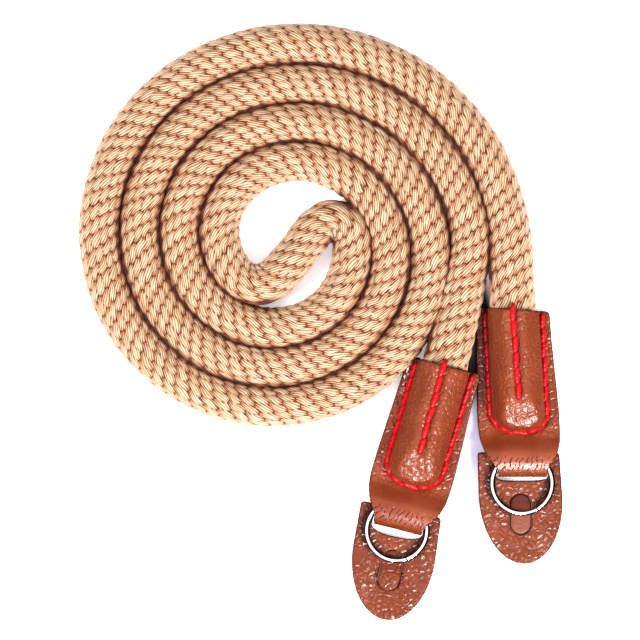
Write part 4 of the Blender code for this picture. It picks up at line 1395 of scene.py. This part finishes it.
def make_floor(look):
    """White paper that glows a little, with two painted shadows between the leather ends."""
    mesh = bpy.data.meshes.new("floor")
    mesh.from_pydata([(-3, -3, 0), (3, -3, 0), (3, 3, 0), (-3, 3, 0)], [], [(0, 1, 2, 3)])
    constants = {"Roughness": 0.9, "Emission Strength": look.floor_glow}
    material, w, shader = new_material("white paper", constants)
    place = w.place()
    tones = FLOOR
    # Painted shadows: two spots where the floor is darker and glows less.
    for x, y, wide, long, *there in FLOOR_PAINTED_SHADOWS:
        spot = w.add("ShaderNodeMapping", {
            "Vector": place, "Location": (-x / wide, -y / long, 0.0), "Scale": (1.0 / wide, 1.0 / long, 1.0),
        }).outputs[0]
        gradient = w.add("ShaderNodeTexGradient", {"Vector": spot}, gradient_type="SPHERICAL").outputs[1]
        shaded = w.smooth(gradient, 0.0, 0.35)
        tones = [w.mix(shaded, tone, other) for tone, other in zip(tones, there)]
    w.feed(shader.inputs["Base Color"], tones[0])
    w.feed(shader.inputs["Emission Color"], tones[1])
    mesh.materials.append(material)
    floor = bpy.data.objects.new("floor", mesh)
    bpy.context.scene.collection.objects.link(floor)
    floor.visible_glossy = False


def make_lamps(look):
    """A large soft key light from the lower right, a weak fill, and a light that only shows in gloss."""
    for name, (place, size, share, colour, glints) in LAMPS.items():
        light = bpy.data.lights.new(name, "AREA")
        light.energy = share * (look.glint_power if glints else look.key_power)
        light.size = size
        light.color = colour
        lamp = bpy.data.objects.new(name, light)
        lamp.location = Vector(VIEW_MIDDLE) + Vector(place)
        lamp.rotation_euler = Vector(place).to_track_quat("Z", "Y").to_euler()
        lamp.visible_glossy = glints
        lamp.visible_diffuse = not glints
        bpy.context.scene.collection.objects.link(lamp)


def make_sky(look):
    """A soft pale sky, brightest overhead and dim to the sides, which the camera sees as plain white.

    Glossy surfaces see hardly any of it below the top, so that they show the lamps and not a haze.
    """
    world = bpy.data.worlds.new("studio")
    world.use_nodes = True
    w = Wires(world.node_tree)
    background = world.node_tree.nodes["Background"]
    background.inputs[0].default_value = SKY
    place = w.add("ShaderNodeTexCoord").outputs["Generated"]
    upward = w.add("ShaderNodeSeparateXYZ", {0: place}).outputs[2]
    path = w.add("ShaderNodeLightPath")
    hidden = w.times(path.outputs["Is Glossy Ray"], w.smooth(upward, 0.62, 0.45))
    strength = w.smooth(upward, 0.25, 0.9, look.surround * 0.25, look.surround)
    strength = w.times(strength, w.times_plus(hidden, -0.96, 1.0))
    w.feed(background.inputs[1], w.most(strength, path.outputs["Is Camera Ray"]))
    bpy.context.scene.world = world
    bpy.context.scene.view_settings.view_transform = "Standard"
    bpy.context.scene.view_settings.look = "Medium High Contrast"


# ---------------------------------------------------------------- add-on


class StrapSizes(bpy.types.PropertyGroup):
    """Sizes and colours of the strap."""

    rope_thickness: bpy.props.FloatProperty(
        name="Rope thickness", description="Across the round rope", default=0.010, unit="LENGTH",
    )
    braid_relief: bpy.props.FloatProperty(
        name="Braid relief", default=0.28,
        description="How far the rope sinks at a depth of one, in millimetres",
    )
    unevenness: bpy.props.FloatProperty(
        name="Unevenness", default=0.22,
        description="How far bundles stand out of their net, in millimetres",
    )
    rope_light: bpy.props.FloatVectorProperty(
        name="Light yarn", description="The yarn's lighter tone", default=(0.47, 0.356, 0.236),
        subtype="COLOR",
    )
    rope_deep: bpy.props.FloatVectorProperty(
        name="Deep yarn", description="The yarn's deeper tone", default=(0.33, 0.208, 0.114),
        subtype="COLOR",
    )
    leather_colour: bpy.props.FloatVectorProperty(
        name="Leather", description="Grain side of the leather", default=(0.188, 0.045, 0.019),
        subtype="COLOR",
    )
    leather_dark: bpy.props.FloatVectorProperty(
        name="Dark leather", description="Darker clouds in the leather", default=(0.15, 0.034, 0.0135),
        subtype="COLOR",
    )
    thread_colour: bpy.props.FloatVectorProperty(
        name="Thread", description="Stitching thread", default=(0.56, 0.0025, 0.009), subtype="COLOR",
    )
    thread_radius: bpy.props.FloatProperty(
        name="Thread radius", description="Half the thickness of a stitch, in millimetres", default=0.68,
    )


class StrapStage(bpy.types.PropertyGroup):
    """The light and the view."""

    view_width: bpy.props.FloatProperty(
        name="View width", description="Width of the picture at the rope's middle", default=0.16,
        unit="LENGTH",
    )
    key_power: bpy.props.FloatProperty(
        name="Key light", description="Power of the key light", default=13.2, unit="POWER",
    )
    glint_power: bpy.props.FloatProperty(
        name="Glints", description="Power of the light that shows in glossy surfaces", default=15.0,
        unit="POWER",
    )
    surround: bpy.props.FloatProperty(
        name="Surround", description="Strength of the soft light from above", default=1.3,
    )
    floor_glow: bpy.props.FloatProperty(
        name="Floor glow", description="Light that the white floor passes up from below", default=0.3,
    )


class STRAP_OT_stage(bpy.types.Operator):
    """Make the floor, the lights and the camera"""

    bl_idname = "strap.stage"
    bl_label = "Stage"

    def execute(self, context):
        for make in (make_camera, make_floor, make_lamps, make_sky):
            make(context.scene.strap_stage)
        return {"FINISHED"}


class STRAP_OT_rope(bpy.types.Operator):
    """Make the braided rope on its route"""

    bl_idname = "strap.rope"
    bl_label = "Braided rope"

    def execute(self, context):
        make_rope(context.scene.strap_sizes)
        return {"FINISHED"}


class STRAP_OT_ends(bpy.types.Operator):
    """Make the two leather end pieces"""

    bl_idname = "strap.ends"
    bl_label = "Leather ends"

    def execute(self, context):
        sizes = context.scene.strap_sizes
        material = leather_material("end piece leather", sizes.leather_colour, sizes.leather_dark, 1.75, 0.4)
        for side in ENDS:
            make_end(side, material)
        return {"FINISHED"}


class STRAP_OT_stitches(bpy.types.Operator):
    """Sew the red stitches into both end pieces"""

    bl_idname = "strap.stitches"
    bl_label = "Stitches"

    def execute(self, context):
        sizes = context.scene.strap_sizes
        material = thread_material(sizes.thread_colour)
        for side in ENDS:
            make_stitches(side, material, sizes.thread_radius)
        return {"FINISHED"}


class STRAP_OT_tabs(bpy.types.Operator):
    """Make the two protector tabs with their tongues"""

    bl_idname = "strap.tabs"
    bl_label = "Protector tabs"

    def execute(self, context):
        sizes = context.scene.strap_sizes
        light, dark = (opaque(tone, 0.78)[:3] for tone in (sizes.leather_colour, sizes.leather_dark))
        rubbed = tongue_material(dark)
        for side in TABS:
            material = leather_material(f"tab leather {side}", light, dark, 1.6, 0.33, TABS[side]["ring"])
            make_tab(side, material, material if side == "left" else rubbed)
        return {"FINISHED"}


class STRAP_OT_rings(bpy.types.Operator):
    """Wind the two split rings"""

    bl_idname = "strap.rings"
    bl_label = "Split rings"

    def execute(self, context):
        material = chrome_material()
        for side in TABS:
            make_ring(side, material)
        return {"FINISHED"}


OPERATORS = (STRAP_OT_stage, STRAP_OT_rope, STRAP_OT_ends, STRAP_OT_stitches, STRAP_OT_tabs, STRAP_OT_rings)


class STRAP_PT_panel(bpy.types.Panel):
    """Sizes, colours and steps of the neck strap"""

    bl_label = "Neck strap"
    bl_idname = "STRAP_PT_panel"
    bl_space_type = "VIEW_3D"
    bl_region_type = "UI"
    bl_category = "Neck strap"

    def draw(self, context):
        layout = self.layout
        for group in (context.scene.strap_sizes, context.scene.strap_stage):
            for title in group.__annotations__:
                layout.prop(group, title)
        for operator in OPERATORS:
            layout.operator(operator.bl_idname)


CLASSES = (StrapSizes, StrapStage, *OPERATORS, STRAP_PT_panel)


def register():
    for entry in CLASSES:
        bpy.utils.register_class(entry)
    bpy.types.Scene.strap_sizes = bpy.props.PointerProperty(type=StrapSizes)
    bpy.types.Scene.strap_stage = bpy.props.PointerProperty(type=StrapStage)


def unregister():
    del bpy.types.Scene.strap_stage
    del bpy.types.Scene.strap_sizes
    for entry in reversed(CLASSES):
        bpy.utils.unregister_class(entry)


def main():
    register()
    bpy.ops.strap.stage()
    bpy.ops.strap.rope()
    bpy.ops.strap.ends()
    bpy.ops.strap.stitches()
    bpy.ops.strap.tabs()
    bpy.ops.strap.rings()


if __name__ == "__main__":
    main()
